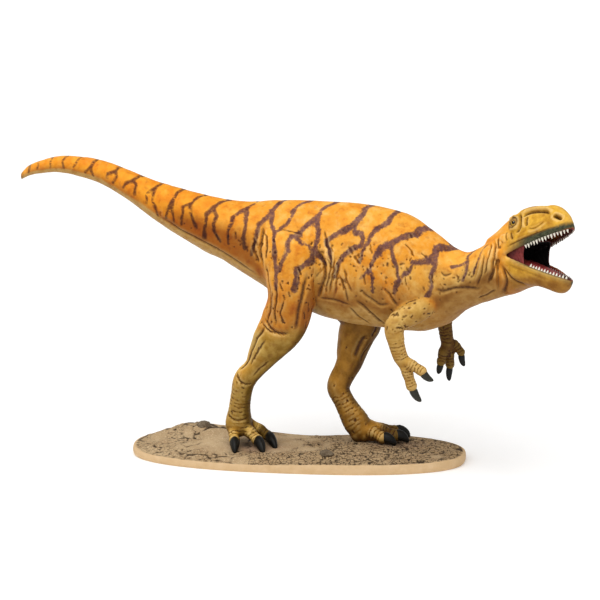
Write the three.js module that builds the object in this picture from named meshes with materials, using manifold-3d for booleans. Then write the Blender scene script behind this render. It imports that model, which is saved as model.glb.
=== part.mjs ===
// A painted theropod figure that walks on an oval ground base.
// Millimetres, +Z up, head towards +X, its right side towards -Y, origin under the middle of the base.
import * as THREE from "three";
import { mergeVertices } from "three/addons/utils/BufferGeometryUtils.js";
import Module from "manifold-3d";

const wasm = await Module();
wasm.setup();

const GAP = 0.3; // air left between two pieces that meet

// Base: a superellipse with a waist in its back edge and a low domed ground.
const BASE_HALF_LENGTH = 73.7;
const BASE_FRONT = 27;
const BASE_BACK = 28;
const BASE_POWER = 2.4;
const BASE_SKEW = 0.02; // how far the middle line drifts to +Y for each millimetre of X
const BASE_MIDDLE = [1, 1];
const BASE_RIM = 4.4;
const BASE_DOME = 1.8;
const BASE_SIDES = 48;
const WAIST = { x: 3, depth: 9, spread: 24 };
const MOUND = { x: -52, y: 18, height: 4.6, spreadX: 20, spreadY: 11 };

// Spine rows: x, y, z of the middle, half width, half height. Tail tip first, head end last.
const SPINE = [
  [-125.5, 16, 119.6, 1.5, 1.7],
  [-120, 15.6, 123.2, 2.2, 2.6],
  [-108, 14, 126, 3.1, 3.6],
  [-97, 12.5, 125.3, 3.9, 4.5],
  [-86, 11, 122.8, 4.8, 5.4],
  [-75, 9.5, 118.2, 5.8, 6.5],
  [-64, 8, 112.7, 7, 8.4],
  [-53, 6.5, 107.8, 8.3, 10.3],
  [-42, 5, 103.9, 9.8, 12],
  [-31, 4, 100.4, 11.5, 13.6],
  [-20, 3, 97.1, 13, 16.5],
  [-9.6, 2.5, 94.2, 14.5, 20.4],
  [1.4, 2, 91.4, 15.5, 23.4],
  [12.4, 2, 89.3, 16, 25.5],
  [23.3, 2, 87.9, 16.5, 26.3],
  [34.2, 2, 86.8, 16.5, 26.4],
  [43, 1.5, 85.6, 16, 26],
  [51, 1, 84, 15.3, 24.8],
  [57, 0, 82.2, 14.3, 22.7],
  [63, -1.2, 81.1, 12.8, 19.5],
  [68.4, -2.6, 80.6, 11.3, 16.2],
  [74.1, -4.6, 82.6, 9.8, 12.7],
  [80.3, -7, 85.9, 9, 12.4],
  [85.5, -9, 88.9, 8.6, 13.4],
  [91, -11.4, 91.8, 8.3, 13.9],
];
const SPINE_SIDES = 24;
const BACK_TAPER = 0.14; // how much narrower the back is than the belly
// Where the spine is divided, counted in rows of the table.
const TAIL_MID_AT = 4;
const TAIL_ROOT_AT = 8;
const TORSO_AT = 10.2;
const NECK_AT = 19.4;

// Limb rows: x, y, z of the middle, half thickness across, half thickness fore and aft.
const RIGHT_LEG = [
  [1, -7, 102, 6, 11],
  [-0.4, -9, 95, 8.5, 13.4],
  [0, -10.5, 84.5, 9, 12.2],
  [-0.6, -11, 73.6, 8.4, 10.2],
  [-3.6, -11, 63.7, 7.2, 10.2],
  [-8.6, -10, 55.3, 6.4, 8.7],
  [-16.2, -7, 43.1, 4.8, 5.2],
  [-21.7, -5, 36.1, 4.5, 4.9],
  [-24, -3, 27.8, 4.4, 4.5],
  [-25, -1.5, 20.9, 5, 4.9],
  [-25.5, 0, 14.5, 5.8, 6.1],
  [-25, 1, 10, 5, 5],
];
const LEFT_LEG = [
  [5, 9, 95, 6, 10],
  [9.6, 12, 85.5, 8.4, 12.5],
  [19.6, 13.8, 72.9, 8.6, 11],
  [26.6, 14.6, 61, 7.4, 9.8],
  [25, 14.4, 52.7, 6.4, 8.1],
  [21.6, 13, 40.7, 4.9, 5.9],
  [17.4, 11, 30.4, 4.5, 5.2],
  [20.2, 10, 23.2, 4.4, 4.7],
  [25.4, 9.2, 14.6, 5, 6],
  [28.8, 9, 10.5, 4.7, 5.1],
];
const LIMB_SIDES = 16;
const RIGHT_KNEE_AT = 4.2;
const RIGHT_ANKLE_AT = 6.9;
const LEFT_KNEE_AT = 3.2;
const LEFT_ANKLE_AT = 5.8;

// Digits: x, y, z and half thickness at the root, the knuckle and the end, then the tip of the claw.
const TOES = {
  right_outer: [
    [-26.6, 0.5, 14.5, 3.3],
    [-26.9, -4, 10.8, 2.7],
    [-26.2, -7.6, 8.4, 2.5],
    [-25.1, -15, 5.4],
  ],
  right_middle: [
    [-23.8, -0.5, 14.5, 3.4],
    [-19.6, -3, 10.9, 2.8],
    [-16.4, -5.6, 8.5, 2.6],
    [-12.2, -12, 5.5],
  ],
  right_inner: [
    [-22.8, 2, 14.3, 3.2],
    [-16.6, 3.1, 10.9, 2.7],
    [-12.6, 1.2, 8.7, 2.5],
    [-7.6, -5.4, 5.6],
  ],
  left_inner: [
    [29, 8, 12.6, 3.3],
    [33.5, 6.6, 10.4, 2.8],
    [37.4, 5.7, 8.6, 2.5],
    [43.6, 4.3, 5.8],
  ],
  left_middle: [
    [30, 9.6, 12.6, 3.4],
    [37, 10, 10.4, 2.8],
    [42.6, 9.8, 8.7, 2.6],
    [48.6, 9.9, 5.8],
  ],
  left_outer: [
    [29.5, 11.2, 12.4, 3.2],
    [36.6, 13.8, 10.2, 2.7],
    [42, 15, 9.2, 2.6],
    [48.6, 16.4, 6.4],
  ],
};
const CLAW_ROOT_SHARE = 0.9; // claw thickness at its root as a share of the toe
const TOE_CLAW_ARCH = 1.8; // how far the middle of a claw stands above a straight line

const RIGHT_ARM = [
  [63, -7, 77, 4.2, 5],
  [55, -12.6, 71.6, 4.6, 5.2],
  [45.4, -16.4, 66, 3.9, 4.3],
  [45.4, -16.4, 58, 3.3, 3.7],
  [47.6, -15, 50, 2.9, 3.2],
];
const LEFT_ARM = [
  [56, 8, 78, 4, 5],
  [59, 13.6, 71, 3.8, 4.2],
  [63, 17.2, 63.2, 3.1, 3.5],
  [63.8, 17, 56, 2.9, 3.3],
  [64.8, 16.4, 50, 2.7, 2.9],
];
const ELBOW_AT = 2;
const WRIST_AT = 4;
const FINGERS = {
  right_first: [
    [47.8, -15, 50, 2.8],
    [52.2, -15.6, 47.8, 2.4],
    [56.6, -16, 45.3, 2.1],
    [61.8, -17, 41.6],
  ],
  right_second: [
    [47.7, -15, 50, 2.8],
    [50.2, -14.2, 44, 2.4],
    [52, -13.5, 37.8, 2.2],
    [55.2, -13.5, 31.2],
  ],
  right_third: [
    [47.7, -14, 50, 2.5],
    [49.2, -11, 44.8, 2.1],
    [50.8, -9.4, 40.2, 1.7],
    [53.2, -8.8, 34.8],
  ],
  left_first: [
    [64.7, 16.2, 50, 2.6],
    [63.2, 15.4, 46, 2.2],
    [62.4, 14.6, 41.9, 1.8],
    [61.6, 14.2, 36.4],
  ],
  left_second: [
    [64.8, 16.6, 50, 2.6],
    [65.8, 17.4, 45, 2.1],
    [66, 17.8, 40, 1.8],
    [66, 17.4, 32.6],
  ],
  left_third: [
    [64.9, 16.6, 50, 2.5],
    [68.2, 17.4, 49, 2.1],
    [70.8, 17.8, 45.8, 1.8],
    [72.6, 17.4, 39.6],
  ],
};
const FINGER_CLAW_ARCH = 0.9; // the same for a finger, towards +X
const DIGIT_RINGS = 5;
const DIGIT_SIDES = 10;
const CLAW_RINGS = 6;
const CLAW_SIDES = 8;
const CLAW_TAPER = 0.6;

// Head: two jaws that open about a hinge line across the back of the mouth.
const HINGE = new THREE.Vector3(93.6, -9.8, 95.1);
const HEAD_YAW = -39;
const HEAD_ROLL = -13; // the far side hangs a little lower
const HEAD_PITCH = 10.8; // of the plane halfway between the jaws
const GAPE = 36;
const SKULL_TURN = GAPE / 2;
const JAW_TURN = -GAPE / 2;
const NECK_FACE_BACK = 4.6; // from the hinge back to the plane where the head meets the neck
const SKULL_LENGTH = 36.2;
const SKULL_HALF_WIDTH = 8.8;
const JAW_LENGTH = 36.4;
const JAW_HALF_WIDTH = 8.4;
const SNOUT_POWER = 2.6; // how late the snout narrows
const LIP = 1.2; // height of the upper lip over the hinge line
const LIP_DEPTH = 1; // thickness of a lip before the roof or floor of the mouth begins
const MOUTH_HOLLOW = 2.9;
// Profiles by distance in front of the hinge.
const SKULL_TOP = [
  [-12, 10.4],
  [-5, 11.9],
  [4, 14.5],
  [8.6, 15.4],
  [10.4, 14.8],
  [12, 16.2],
  [14.5, 16.5],
  [19, 15.8],
  [23, 14.4],
  [29, 12.6],
  [32.5, 9.9],
  [35, 6.2],
  [SKULL_LENGTH, 3],
];
const JAW_BOTTOM = [
  [-12, -23.4],
  [4, -15.8],
  [8.5, -12.8],
  [12, -10.3],
  [15.5, -8.4],
  [19, -7.2],
  [25.5, -6.8],
  [32, -6.6],
  [34.6, -5.2],
  [JAW_LENGTH, -3.2],
];
const HEAD_RINGS = 18;
const OUTER_POINTS = 14;
const INNER_POINTS = 8;
const TOOTH_SPACING = 1.55;
const TOOTH_RADIUS = 0.6;
const TOOTH_SIDES = 5;
const TOOTH_SINK = 0.7;
const UPPER_TOOTH = 1.8;
const LOWER_TOOTH = 1.5;
const TEETH_FROM = 14.4;
const EYE = { forward: 10.7, up: 10.6, out: 5.9, radius: 1.6 };
const NOSTRIL = { forward: 32, up: 6, out: 4.2, size: [1.9, 0.9, 0.8] };
const CHEEK_HOLLOW = { forward: 22.8, up: 8.2, out: 7.5, size: [6, 2, 3.6] };
const BROW = { from: 6, to: 25, up: 13, rise: -0.6, out: 5, radius: 1.2 };
const LINING_FROM = 1.8;
const LINING_TO = 13;
const TONGUE = { from: 11, to: 29, up: -2.3, halfWidth: 2.7, halfHeight: 1.4 };

const STONES = {
  stone_left: { at: [-44, 15, 8.4], size: [3.4, 2.9, 2.2], turn: 25 },
  stone_front: { at: [15.2, -14, 6.3], size: [3.1, 2.5, 1.5], turn: -10 },
  stone_rear: { at: [-30, 15, 6.9], size: [2.6, 2.2, 1.6], turn: 60 },
};

const vec = (x, y, z) => new THREE.Vector3(x, y, z);
const UP = vec(0, 0, 1);
const ACROSS = vec(0, 1, 0);

// A three.js geometry as a closed solid that manifold-3d can join and cut.
function solidOf(geometry) {
  const bare = geometry.clone();
  bare.deleteAttribute("normal");
  bare.deleteAttribute("uv");
  const merged = mergeVertices(bare, 1e-4);
  const triVerts = new Uint32Array(merged.index.array);
  const vertProperties = merged.attributes.position.array;
  return new wasm.Manifold(new wasm.Mesh({ numProp: 3, vertProperties, triVerts }));
}

// Rings of points with the same count become one skin, closed at both ends by a fan.
function solidFromRings(rings) {
  const sides = rings[0].length;
  const points = rings.flat();
  const faces = [];
  for (let r = 0; r + 1 < rings.length; r++) {
    for (let k = 0; k < sides; k++) {
      const a = r * sides + k;
      const b = r * sides + ((k + 1) % sides);
      faces.push(a, b, a + sides, b, b + sides, a + sides);
    }
  }
  for (const r of [0, rings.length - 1]) {
    const middle = rings[r].reduce((sum, p) => sum.add(p), vec(0, 0, 0)).divideScalar(sides);
    const hub = points.push(middle) - 1;
    for (let k = 0; k < sides; k++) {
      const a = r * sides + k;
      const b = r * sides + ((k + 1) % sides);
      faces.push(...(r ? [a, b, hub] : [b, a, hub]));
    }
  }
  const geometry = new THREE.BufferGeometry().setFromPoints(points).setIndex(faces);
  return solidOf(geometry);
}

function joined(solids) {
  return solids.reduce((all, next) => all.add(next));
}

function largest(solid) {
  return solid.decompose().sort((a, b) => b.volume() - a.volume())[0];
}

// A smooth line through the middles of the rows, and one through their half thicknesses.
function pathOf(rows) {
  const middles = rows.map((r) => vec(r[0], r[1], r[2]));
  const halves = rows.map((r) => vec(r[3], r[4] ?? r[3], 0));
  return {
    last: rows.length - 1,
    middle: new THREE.CatmullRomCurve3(middles, false, "catmullrom"),
    half: new THREE.CatmullRomCurve3(halves, false, "catmullrom"),
  };
}

// An ellipse round a middle point, narrowed towards its upper half by taper.
function ellipse(middle, across, upward, halfAcross, halfUp, sides, taper) {
  return Array.from({ length: sides }, (_, k) => {
    const angle = (2 * Math.PI * k) / sides;
    const reach = halfAcross * Math.cos(angle) * (1 - taper * Math.sin(angle));
    const rise = halfUp * Math.sin(angle);
    return middle.clone().addScaledVector(across, reach).addScaledVector(upward, rise);
  });
}

// Directions across and above a path that runs mostly level.
function levelFrame(along) {
  const across = UP.clone().cross(along).normalize();
  return { across, upward: along.clone().cross(across) };
}

// The same for a path that runs mostly up and down.
function limbFrame(along) {
  const across = ACROSS.clone().addScaledVector(along, -along.y).normalize();
  return { across, upward: along.clone().cross(across) };
}

// The length of a path between two row numbers, as a solid swollen by grow.
// A spine keeps its sections upright; a limb turns them with its own direction.
function length(rows, from, to, { rings, sides, grow = 0, upright = false, taper = 0 }) {
  const path = pathOf(rows);
  const made = [];
  for (let r = 0; r <= rings; r++) {
    const at = (from + ((to - from) * r) / rings) / path.last;
    const along = path.middle.getTangent(at);
    const end = r === 0 ? -1 : r === rings ? 1 : 0;
    const middle = path.middle.getPoint(at).addScaledVector(along, end * (grow - GAP / 2));
    const half = path.half.getPoint(at);
    const { across, upward } = upright ? levelFrame(along) : limbFrame(along);
    const rise = upright ? UP : upward;
    made.push(ellipse(middle, across, rise, half.x + grow, half.y + grow, sides, taper));
  }
  return solidFromRings(made);
}

function spineLength(from, to, rings, grow = 0) {
  return length(SPINE, from, to, { rings, sides: SPINE_SIDES, grow, upright: true, taper: BACK_TAPER });
}

function limbLength(rows, from, to, rings, grow = 0) {
  return length(rows, from, to, { rings, sides: LIMB_SIDES, grow });
}

// A short round digit with a blunt end.
function digit({ rows, frame }, grow = 0) {
  const path = pathOf(rows);
  const made = [];
  for (let r = 0; r <= DIGIT_RINGS; r++) {
    const at = r / DIGIT_RINGS;
    const { across, upward } = frame(path.middle.getTangent(at));
    const half = path.half.getPoint(at).x + grow;
    made.push(ellipse(path.middle.getPoint(at), across, upward, half, half, DIGIT_SIDES, 0));
  }
  const along = path.middle.getTangent(1);
  const { across, upward } = frame(along);
  const half = path.half.getPoint(1).x + grow;
  for (const turn of [35, 65]) {
    const angle = THREE.MathUtils.degToRad(turn);
    const middle = path.middle.getPoint(1).addScaledVector(along, half * Math.sin(angle));
    const round = half * Math.cos(angle);
    made.push(ellipse(middle, across, upward, round, round, DIGIT_SIDES, 0));
  }
  return solidFromRings(made);
}

// A curved claw from inside the end of a digit to its tip.
function claw({ rows, tip, frame, arch }) {
  const end = rows[rows.length - 1];
  const root = vec(...end.slice(0, 3));
  const point = vec(...tip);
  const crown = root.clone().lerp(point, 0.55).add(arch);
  const line = new THREE.QuadraticBezierCurve3(root, crown, point);
  const thick = end[3] * CLAW_ROOT_SHARE;
  const made = [];
  for (let r = 0; r <= CLAW_RINGS; r++) {
    const at = r / CLAW_RINGS;
    const { across, upward } = frame(line.getTangent(at));
    const half = thick * (1 - CLAW_TAPER * at ** 2) * Math.sqrt(1 - 0.95 * at ** 10);
    made.push(ellipse(line.getPoint(at), across, upward, half * 0.85, half, CLAW_SIDES, 0));
  }
  return solidFromRings(made);
}

// A point of the base outline drawn in towards its middle by share.
function basePoint(angle, share, z) {
  const c = Math.cos(angle);
  const s = Math.sin(angle);
  const x = BASE_HALF_LENGTH * Math.sign(c) * Math.abs(c) ** (2 / BASE_POWER);
  const depth = Math.abs(s) ** (2 / BASE_POWER);
  const waist = WAIST.depth * Math.exp(-(((x - WAIST.x) / WAIST.spread) ** 2));
  const reach = s < 0 ? -BASE_FRONT * depth : (BASE_BACK - waist) * depth;
  const [middleX, middleY] = BASE_MIDDLE;
  return vec(middleX + x * share, middleY + (BASE_SKEW * x + reach) * share, z);
}

function groundHeight(x, y, share) {
  const across = (x - MOUND.x) / MOUND.spreadX;
  const deep = (y - MOUND.y) / MOUND.spreadY;
  const mound = MOUND.height * Math.exp(-across * across - deep * deep);
  const edge = Math.min(1, (1 - share) / 0.12);
  return BASE_RIM + BASE_DOME * (1 - share * share) + mound * edge;
}

function baseSolid() {
  const wall = [
    [0.985, 0],
    [1, 1],
    [0.995, BASE_RIM - 1],
    [0.975, BASE_RIM],
  ];
  const ground = [0.93, 0.86, 0.76, 0.64, 0.5, 0.34, 0.18];
  const angles = Array.from({ length: BASE_SIDES }, (_, k) => (2 * Math.PI * k) / BASE_SIDES);
  const rings = wall.map(([share, z]) => angles.map((a) => basePoint(a, share, z)));
  for (const share of ground) {
    rings.push(
      angles.map((a) => {
        const p = basePoint(a, share, 0);
        return p.setZ(groundHeight(p.x, p.y, share));
      }),
    );
  }
  return solidFromRings(rings);
}

// A matrix from a jaw's own frame (x forward, y left, z up), opened by turn, to the model.
function headFrame(turn) {
  const { degToRad } = THREE.MathUtils;
  const yaw = new THREE.Matrix4().makeRotationZ(degToRad(HEAD_YAW));
  const pitch = new THREE.Matrix4().makeRotationY(degToRad(-HEAD_PITCH));
  const roll = new THREE.Matrix4().makeRotationX(degToRad(HEAD_ROLL));
  const open = new THREE.Matrix4().makeRotationY(degToRad(-turn));
  const frame = new THREE.Matrix4().makeTranslation(HINGE);
  return frame.multiply(yaw).multiply(pitch).multiply(roll).multiply(open);
}

function placed(solid, matrix) {
  return solid.transform(matrix.elements);
}

function ball(at, size, turn = 0) {
  const shape = new THREE.SphereGeometry(1, 12, 8);
  shape.scale(...size);
  shape.rotateZ(THREE.MathUtils.degToRad(turn));
  shape.translate(...at);
  return solidOf(shape);
}

// Height of a profile at a distance in front of the hinge, smoothed between its rows.
function profileAt(rows, forward) {
  const after = Math.max(1, rows.findIndex((r) => r[0] >= forward));
  const [a, b] = [rows[after - 1], rows[after]];
  return THREE.MathUtils.lerp(a[1], b[1], (forward - a[0]) / (b[0] - a[0]));
}

// Half width of a jaw, full at the hinge and closing round the tip.
function jawWidth(half, reach, forward) {
  const share = Math.min(Math.max(forward, 0) / reach, 0.998);
  return half * Math.sqrt(1 - share ** SNOUT_POWER);
}

// Outline of a jaw across the head: the outer arc, then back through the hollow of the mouth.
function jawRing(forward, halfWidth, lip, far, hollow, pinch) {
  const ring = [];
  for (let k = 0; k <= OUTER_POINTS; k++) {
    const angle = (Math.PI * k) / OUTER_POINTS;
    const c = Math.cos(angle);
    const s = Math.sin(angle);
    const reach = halfWidth * Math.sign(c) * Math.abs(c) ** 0.6 * (1 - pinch * s);
    ring.push(vec(forward, reach, lip + (far - lip) * s ** 0.75));
  }
  const inside = Math.max(halfWidth - LIP_DEPTH, halfWidth * 0.5);
  for (let k = 0; k <= INNER_POINTS; k++) {
    const angle = (Math.PI * k) / INNER_POINTS;
    const rise = hollow * Math.sin(angle) ** 0.7;
    ring.push(vec(forward, -inside * Math.cos(angle), lip + Math.sign(far - lip) * rise));
  }
  return ring;
}

// How far along the head each ring stands: close together at the tip.
function headStations(reach) {
  const back = -12;
  return Array.from({ length: HEAD_RINGS + 1 }, (_, k) => {
    const share = Math.sin((Math.PI / 2) * (k / HEAD_RINGS));
    return back + (reach - back) * share;
  });
}

function hollowAt(forward, reach) {
  const rise = THREE.MathUtils.smoothstep(forward, 1, 8);
  const fall = 1 - THREE.MathUtils.smoothstep(forward, reach - 6, reach - 1);
  return MOUTH_HOLLOW * rise * fall;
}

// The edge of a jaw: over the hinge line in front, on the plane halfway between the jaws behind it.
function lipAt(forward) {
  const behind = Math.tan(THREE.MathUtils.degToRad(GAPE / 2)) * Math.max(-forward, 0);
  return GAP / 2 + behind + LIP * THREE.MathUtils.smoothstep(forward, 0, 6);
}

// Cones along both sides of a lip, spaced evenly along its curve, each with its root in the jaw.
function teeth(halfWidth, reach, direction, toothLength) {
  const made = [];
  let travelled = 0;
  let before = null;
  for (let forward = TEETH_FROM; forward < reach - 0.4; forward += 0.05) {
    const out = jawWidth(halfWidth, reach, forward) - LIP_DEPTH * 0.55;
    if (out < 0.7) break;
    const here = vec(forward, out, 0);
    travelled += before ? here.distanceTo(before) : TOOTH_SPACING;
    before = here;
    if (travelled < TOOTH_SPACING) continue;
    travelled -= TOOTH_SPACING;
    const size = 0.72 + 0.28 * Math.sin((made.length / 2) * 2.2) ** 2;
    for (const side of [-1, 1]) {
      const height = (toothLength + TOOTH_SINK) * size;
      const cone = new THREE.ConeGeometry(TOOTH_RADIUS, height, TOOTH_SIDES);
      cone.rotateX((direction * Math.PI) / 2);
      const middle = direction * (height / 2 - TOOTH_SINK * size - lipAt(forward));
      cone.translate(forward, side * out, middle);
      made.push(solidOf(cone));
    }
  }
  return made;
}

function skullShell() {
  const rings = headStations(SKULL_LENGTH).map((f) => {
    const half = jawWidth(SKULL_HALF_WIDTH, SKULL_LENGTH, f);
    return jawRing(f, half, lipAt(f), profileAt(SKULL_TOP, f), hollowAt(f, SKULL_LENGTH), 0.3);
  });
  return solidFromRings(rings);
}

function jawShell() {
  const rings = headStations(JAW_LENGTH).map((f) => {
    const half = jawWidth(JAW_HALF_WIDTH, JAW_LENGTH, f);
    const ring = jawRing(f, half, -lipAt(f), profileAt(JAW_BOTTOM, f), hollowAt(f, JAW_LENGTH), 0.25);
    return ring.reverse();
  });
  return solidFromRings(rings);
}

function brow(side) {
  const steps = 8;
  const rings = [];
  for (let k = 0; k <= steps; k++) {
    const share = k / steps;
    const forward = THREE.MathUtils.lerp(BROW.from, BROW.to, share);
    const swell = BROW.radius * (0.35 + 0.65 * Math.sin(Math.PI * share));
    const middle = vec(forward, side * BROW.out, BROW.up + BROW.rise * share);
    rings.push(ellipse(middle, vec(0, 1, 0), vec(0, 0, 1), swell, swell, 10, 0));
  }
  return solidFromRings(rings);
}

function sideBall({ forward, up, out, size }, side) {
  return ball([forward, side * out, up], size);
}

function eyeBall(side, grow) {
  const r = EYE.radius + grow;
  return ball([EYE.forward, side * EYE.out, EYE.up], [r, r, r]);
}

// The plane where the head meets the neck, as the four numbers of a half space that looks forward.
function neckFace() {
  const forward = vec(1, 0, 0).transformDirection(headFrame(0));
  return { forward, offset: HINGE.dot(forward) - NECK_FACE_BACK };
}

function skull() {
  const fangs = teeth(SKULL_HALF_WIDTH, SKULL_LENGTH, -1, UPPER_TOOTH);
  let made = joined([skullShell(), brow(-1), brow(1), ...fangs]);
  for (const side of [-1, 1]) {
    made = made.subtract(eyeBall(side, GAP));
    made = made.subtract(sideBall(NOSTRIL, side)).subtract(sideBall(CHEEK_HOLLOW, side));
  }
  const face = neckFace();
  const model = placed(made, headFrame(SKULL_TURN));
  return largest(model.trimByPlane(face.forward.toArray(), face.offset + GAP / 2));
}

function lowerJaw() {
  const fangs = teeth(JAW_HALF_WIDTH, JAW_LENGTH, 1, LOWER_TOOTH);
  const made = joined([jawShell(), ...fangs]);
  const face = neckFace();
  const model = placed(made, headFrame(JAW_TURN));
  return largest(model.trimByPlane(face.forward.toArray(), face.offset + GAP / 2));
}

// The cheeks and the throat: a wedge between the jaws, hollowed from the front.
function mouthLining() {
  const steps = 6;
  const slope = Math.tan(THREE.MathUtils.degToRad(GAPE / 2));
  const rings = [];
  for (let k = 0; k <= steps; k++) {
    const forward = THREE.MathUtils.lerp(LINING_FROM, LINING_TO, k / steps);
    const half = jawWidth(JAW_HALF_WIDTH, JAW_LENGTH, forward) - GAP;
    const rise = forward * slope - GAP;
    const corners = [vec(0, half, -rise), vec(0, half * 0.9, 0), vec(0, half, rise)];
    const others = [vec(0, -half, rise), vec(0, -half * 0.9, 0), vec(0, -half, -rise)];
    rings.push([...corners, ...others].map((p) => p.setX(forward)));
  }
  const throat = ball([LINING_TO + 0.6, 0, 0], [9, 6.4, 3.1]);
  return placed(largest(solidFromRings(rings).subtract(throat)), headFrame(0));
}

function tongue() {
  const steps = 8;
  const rings = [];
  for (let k = 0; k <= steps; k++) {
    const share = k / steps;
    const forward = THREE.MathUtils.lerp(TONGUE.from, TONGUE.to, share);
    const swell = Math.sqrt(1 - 0.9 * share ** 4);
    const middle = vec(forward, 0, TONGUE.up + 0.5 * share);
    const half = TONGUE.halfWidth * swell;
    rings.push(ellipse(middle, vec(0, 1, 0), vec(0, 0, 1), half, TONGUE.halfHeight * swell, 12, 0));
  }
  return placed(solidFromRings(rings), headFrame(JAW_TURN));
}

const PAINT = {
  orange: { color: 0xe2902c, roughness: 0.55, metalness: 0 },
  ochre: { color: 0xb98f3a, roughness: 0.6, metalness: 0 },
  claw: { color: 0x2b2a22, roughness: 0.4, metalness: 0 },
  eye: { color: 0xb9a03a, roughness: 0.2, metalness: 0 },
  mouth: { color: 0x7a2a22, roughness: 0.45, metalness: 0 },
  ground: { color: 0xc2a47e, roughness: 0.8, metalness: 0 },
  stone: { color: 0x8a6a4a, roughness: 0.8, metalness: 0 },
};

const figure = new THREE.Group();

function place(name, solid, paint) {
  const { numProp, vertProperties, triVerts } = solid.getMesh();
  const geometry = new THREE.BufferGeometry();
  geometry.setAttribute("position", new THREE.BufferAttribute(vertProperties, numProp));
  geometry.setIndex(new THREE.BufferAttribute(triVerts, 1));
  geometry.computeVertexNormals();
  const mesh = new THREE.Mesh(geometry, new THREE.MeshStandardMaterial(PAINT[paint]));
  mesh.name = name;
  figure.add(mesh);
}

function addBase() {
  const base = baseSolid();
  place("base", base, "ground");
  const raised = base.translate([0, 0, GAP]);
  for (const [name, { at, size, turn }] of Object.entries(STONES))
    place(name, largest(ball(at, size, turn).subtract(raised)), "stone");
  return raised;
}

function addSpine() {
  const last = SPINE.length - 1;
  place("tail_tip", spineLength(0, TAIL_MID_AT, 10), "orange");
  place("tail_mid", spineLength(TAIL_MID_AT, TAIL_ROOT_AT, 7), "orange");
  place("tail_root", spineLength(TAIL_ROOT_AT, TORSO_AT, 5), "orange");
  place("torso", spineLength(TORSO_AT, NECK_AT, 16), "orange");
  const face = neckFace();
  const neck = spineLength(NECK_AT, last, 12);
  const behind = face.forward.clone().negate().toArray();
  place("neck", largest(neck.trimByPlane(behind, GAP / 2 - face.offset)), "orange");
  return spineLength(TORSO_AT, NECK_AT, 16, GAP);
}

// The toes or fingers of one side, with the frame their sections use and the bend of their claws.
function digitsOf(table, side, frame, arch) {
  const mine = Object.entries(table).filter(([name]) => name.startsWith(side));
  return mine.map(([name, rows]) => ({ name, rows: rows.slice(0, -1), tip: rows.at(-1), frame, arch }));
}

function addLeg(side, rows, kneeAt, ankleAt, torso, ground) {
  const thigh = limbLength(rows, 0, kneeAt, 12).subtract(torso);
  place("thigh_" + side, largest(thigh), "orange");
  place("shank_" + side, limbLength(rows, kneeAt, ankleAt, 8), "ochre");
  const ankle = limbLength(rows, ankleAt, rows.length - 1, 8);
  const toes = digitsOf(TOES, side, levelFrame, vec(0, 0, TOE_CLAW_ARCH));
  const foot = joined([ankle, ...toes.map((toe) => digit(toe))]);
  place("foot_" + side, largest(foot.subtract(ground)), "ochre");
  const room = joined(toes.map((toe) => digit(toe, GAP)));
  for (const toe of toes) {
    const nail = claw(toe).subtract(room).subtract(ground);
    place("toe_claw_" + toe.name, largest(nail), "claw");
  }
}

function addArm(side, rows, torso) {
  const upper = limbLength(rows, 0, ELBOW_AT, 8).subtract(torso);
  place("upper_arm_" + side, largest(upper), "orange");
  place("forearm_" + side, limbLength(rows, ELBOW_AT, WRIST_AT, 8), "ochre");
  const fingers = digitsOf(FINGERS, side, limbFrame, vec(FINGER_CLAW_ARCH, 0, 0));
  const sleeve = limbLength(rows, ELBOW_AT, WRIST_AT, 8, GAP);
  const hand = joined(fingers.map((finger) => digit(finger)));
  const room = joined(fingers.map((finger) => digit(finger, GAP)));
  place("hand_" + side, largest(hand.subtract(sleeve)), "ochre");
  for (const finger of fingers) {
    const nail = claw(finger).subtract(room);
    place("finger_claw_" + finger.name, largest(nail), "claw");
  }
}

function addHead() {
  place("skull", skull(), "orange");
  place("lower_jaw", lowerJaw(), "orange");
  place("mouth_lining", mouthLining(), "mouth");
  place("tongue", tongue(), "mouth");
  for (const [name, side] of [["eye_right", -1], ["eye_left", 1]])
    place(name, placed(eyeBall(side, 0), headFrame(SKULL_TURN)), "eye");
}

const ground = addBase();
const torso = addSpine();
addLeg("right", RIGHT_LEG, RIGHT_KNEE_AT, RIGHT_ANKLE_AT, torso, ground);
addLeg("left", LEFT_LEG, LEFT_KNEE_AT, LEFT_ANKLE_AT, torso, ground);
addArm("right", RIGHT_ARM, torso);
addArm("left", LEFT_ARM, torso);
addHead();

export default figure;
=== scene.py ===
# %% [markdown]
# # A painted dinosaur figure
# The object is a hand-painted resin figure of a two-legged meat eater on an oval piece of ground.
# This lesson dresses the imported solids: one continuous skin takes the place of all the flesh solids,
# and the claws, teeth, eyes, mouth, ground and stones are pieces of their own.
# All tables are in millimetres, in the same frame as the solids: the head points to +X, +Z is up.

import bpy
import numpy as np
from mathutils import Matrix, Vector


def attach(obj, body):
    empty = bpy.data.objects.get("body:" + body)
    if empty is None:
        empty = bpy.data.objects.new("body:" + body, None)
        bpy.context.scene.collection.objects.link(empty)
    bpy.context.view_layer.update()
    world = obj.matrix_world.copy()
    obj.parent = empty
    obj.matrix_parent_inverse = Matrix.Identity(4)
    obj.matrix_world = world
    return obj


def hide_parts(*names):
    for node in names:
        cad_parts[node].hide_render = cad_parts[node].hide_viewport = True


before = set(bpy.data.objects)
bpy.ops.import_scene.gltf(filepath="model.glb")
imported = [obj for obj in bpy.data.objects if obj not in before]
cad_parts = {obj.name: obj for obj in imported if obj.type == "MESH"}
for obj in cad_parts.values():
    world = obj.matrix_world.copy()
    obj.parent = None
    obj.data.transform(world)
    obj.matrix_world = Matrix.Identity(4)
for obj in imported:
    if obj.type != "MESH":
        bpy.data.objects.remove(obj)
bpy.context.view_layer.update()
MM = 0.001  # Blender works in metres

# %% [markdown]
# ## The camera, the floor and the light
# The photograph looks at the figure's right side from a little above and a little in front of its middle.
# A long lens keeps the sides almost parallel, as in a catalogue picture.
# A large pale floor and a soft key light from the upper left give the plain studio look.

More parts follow.
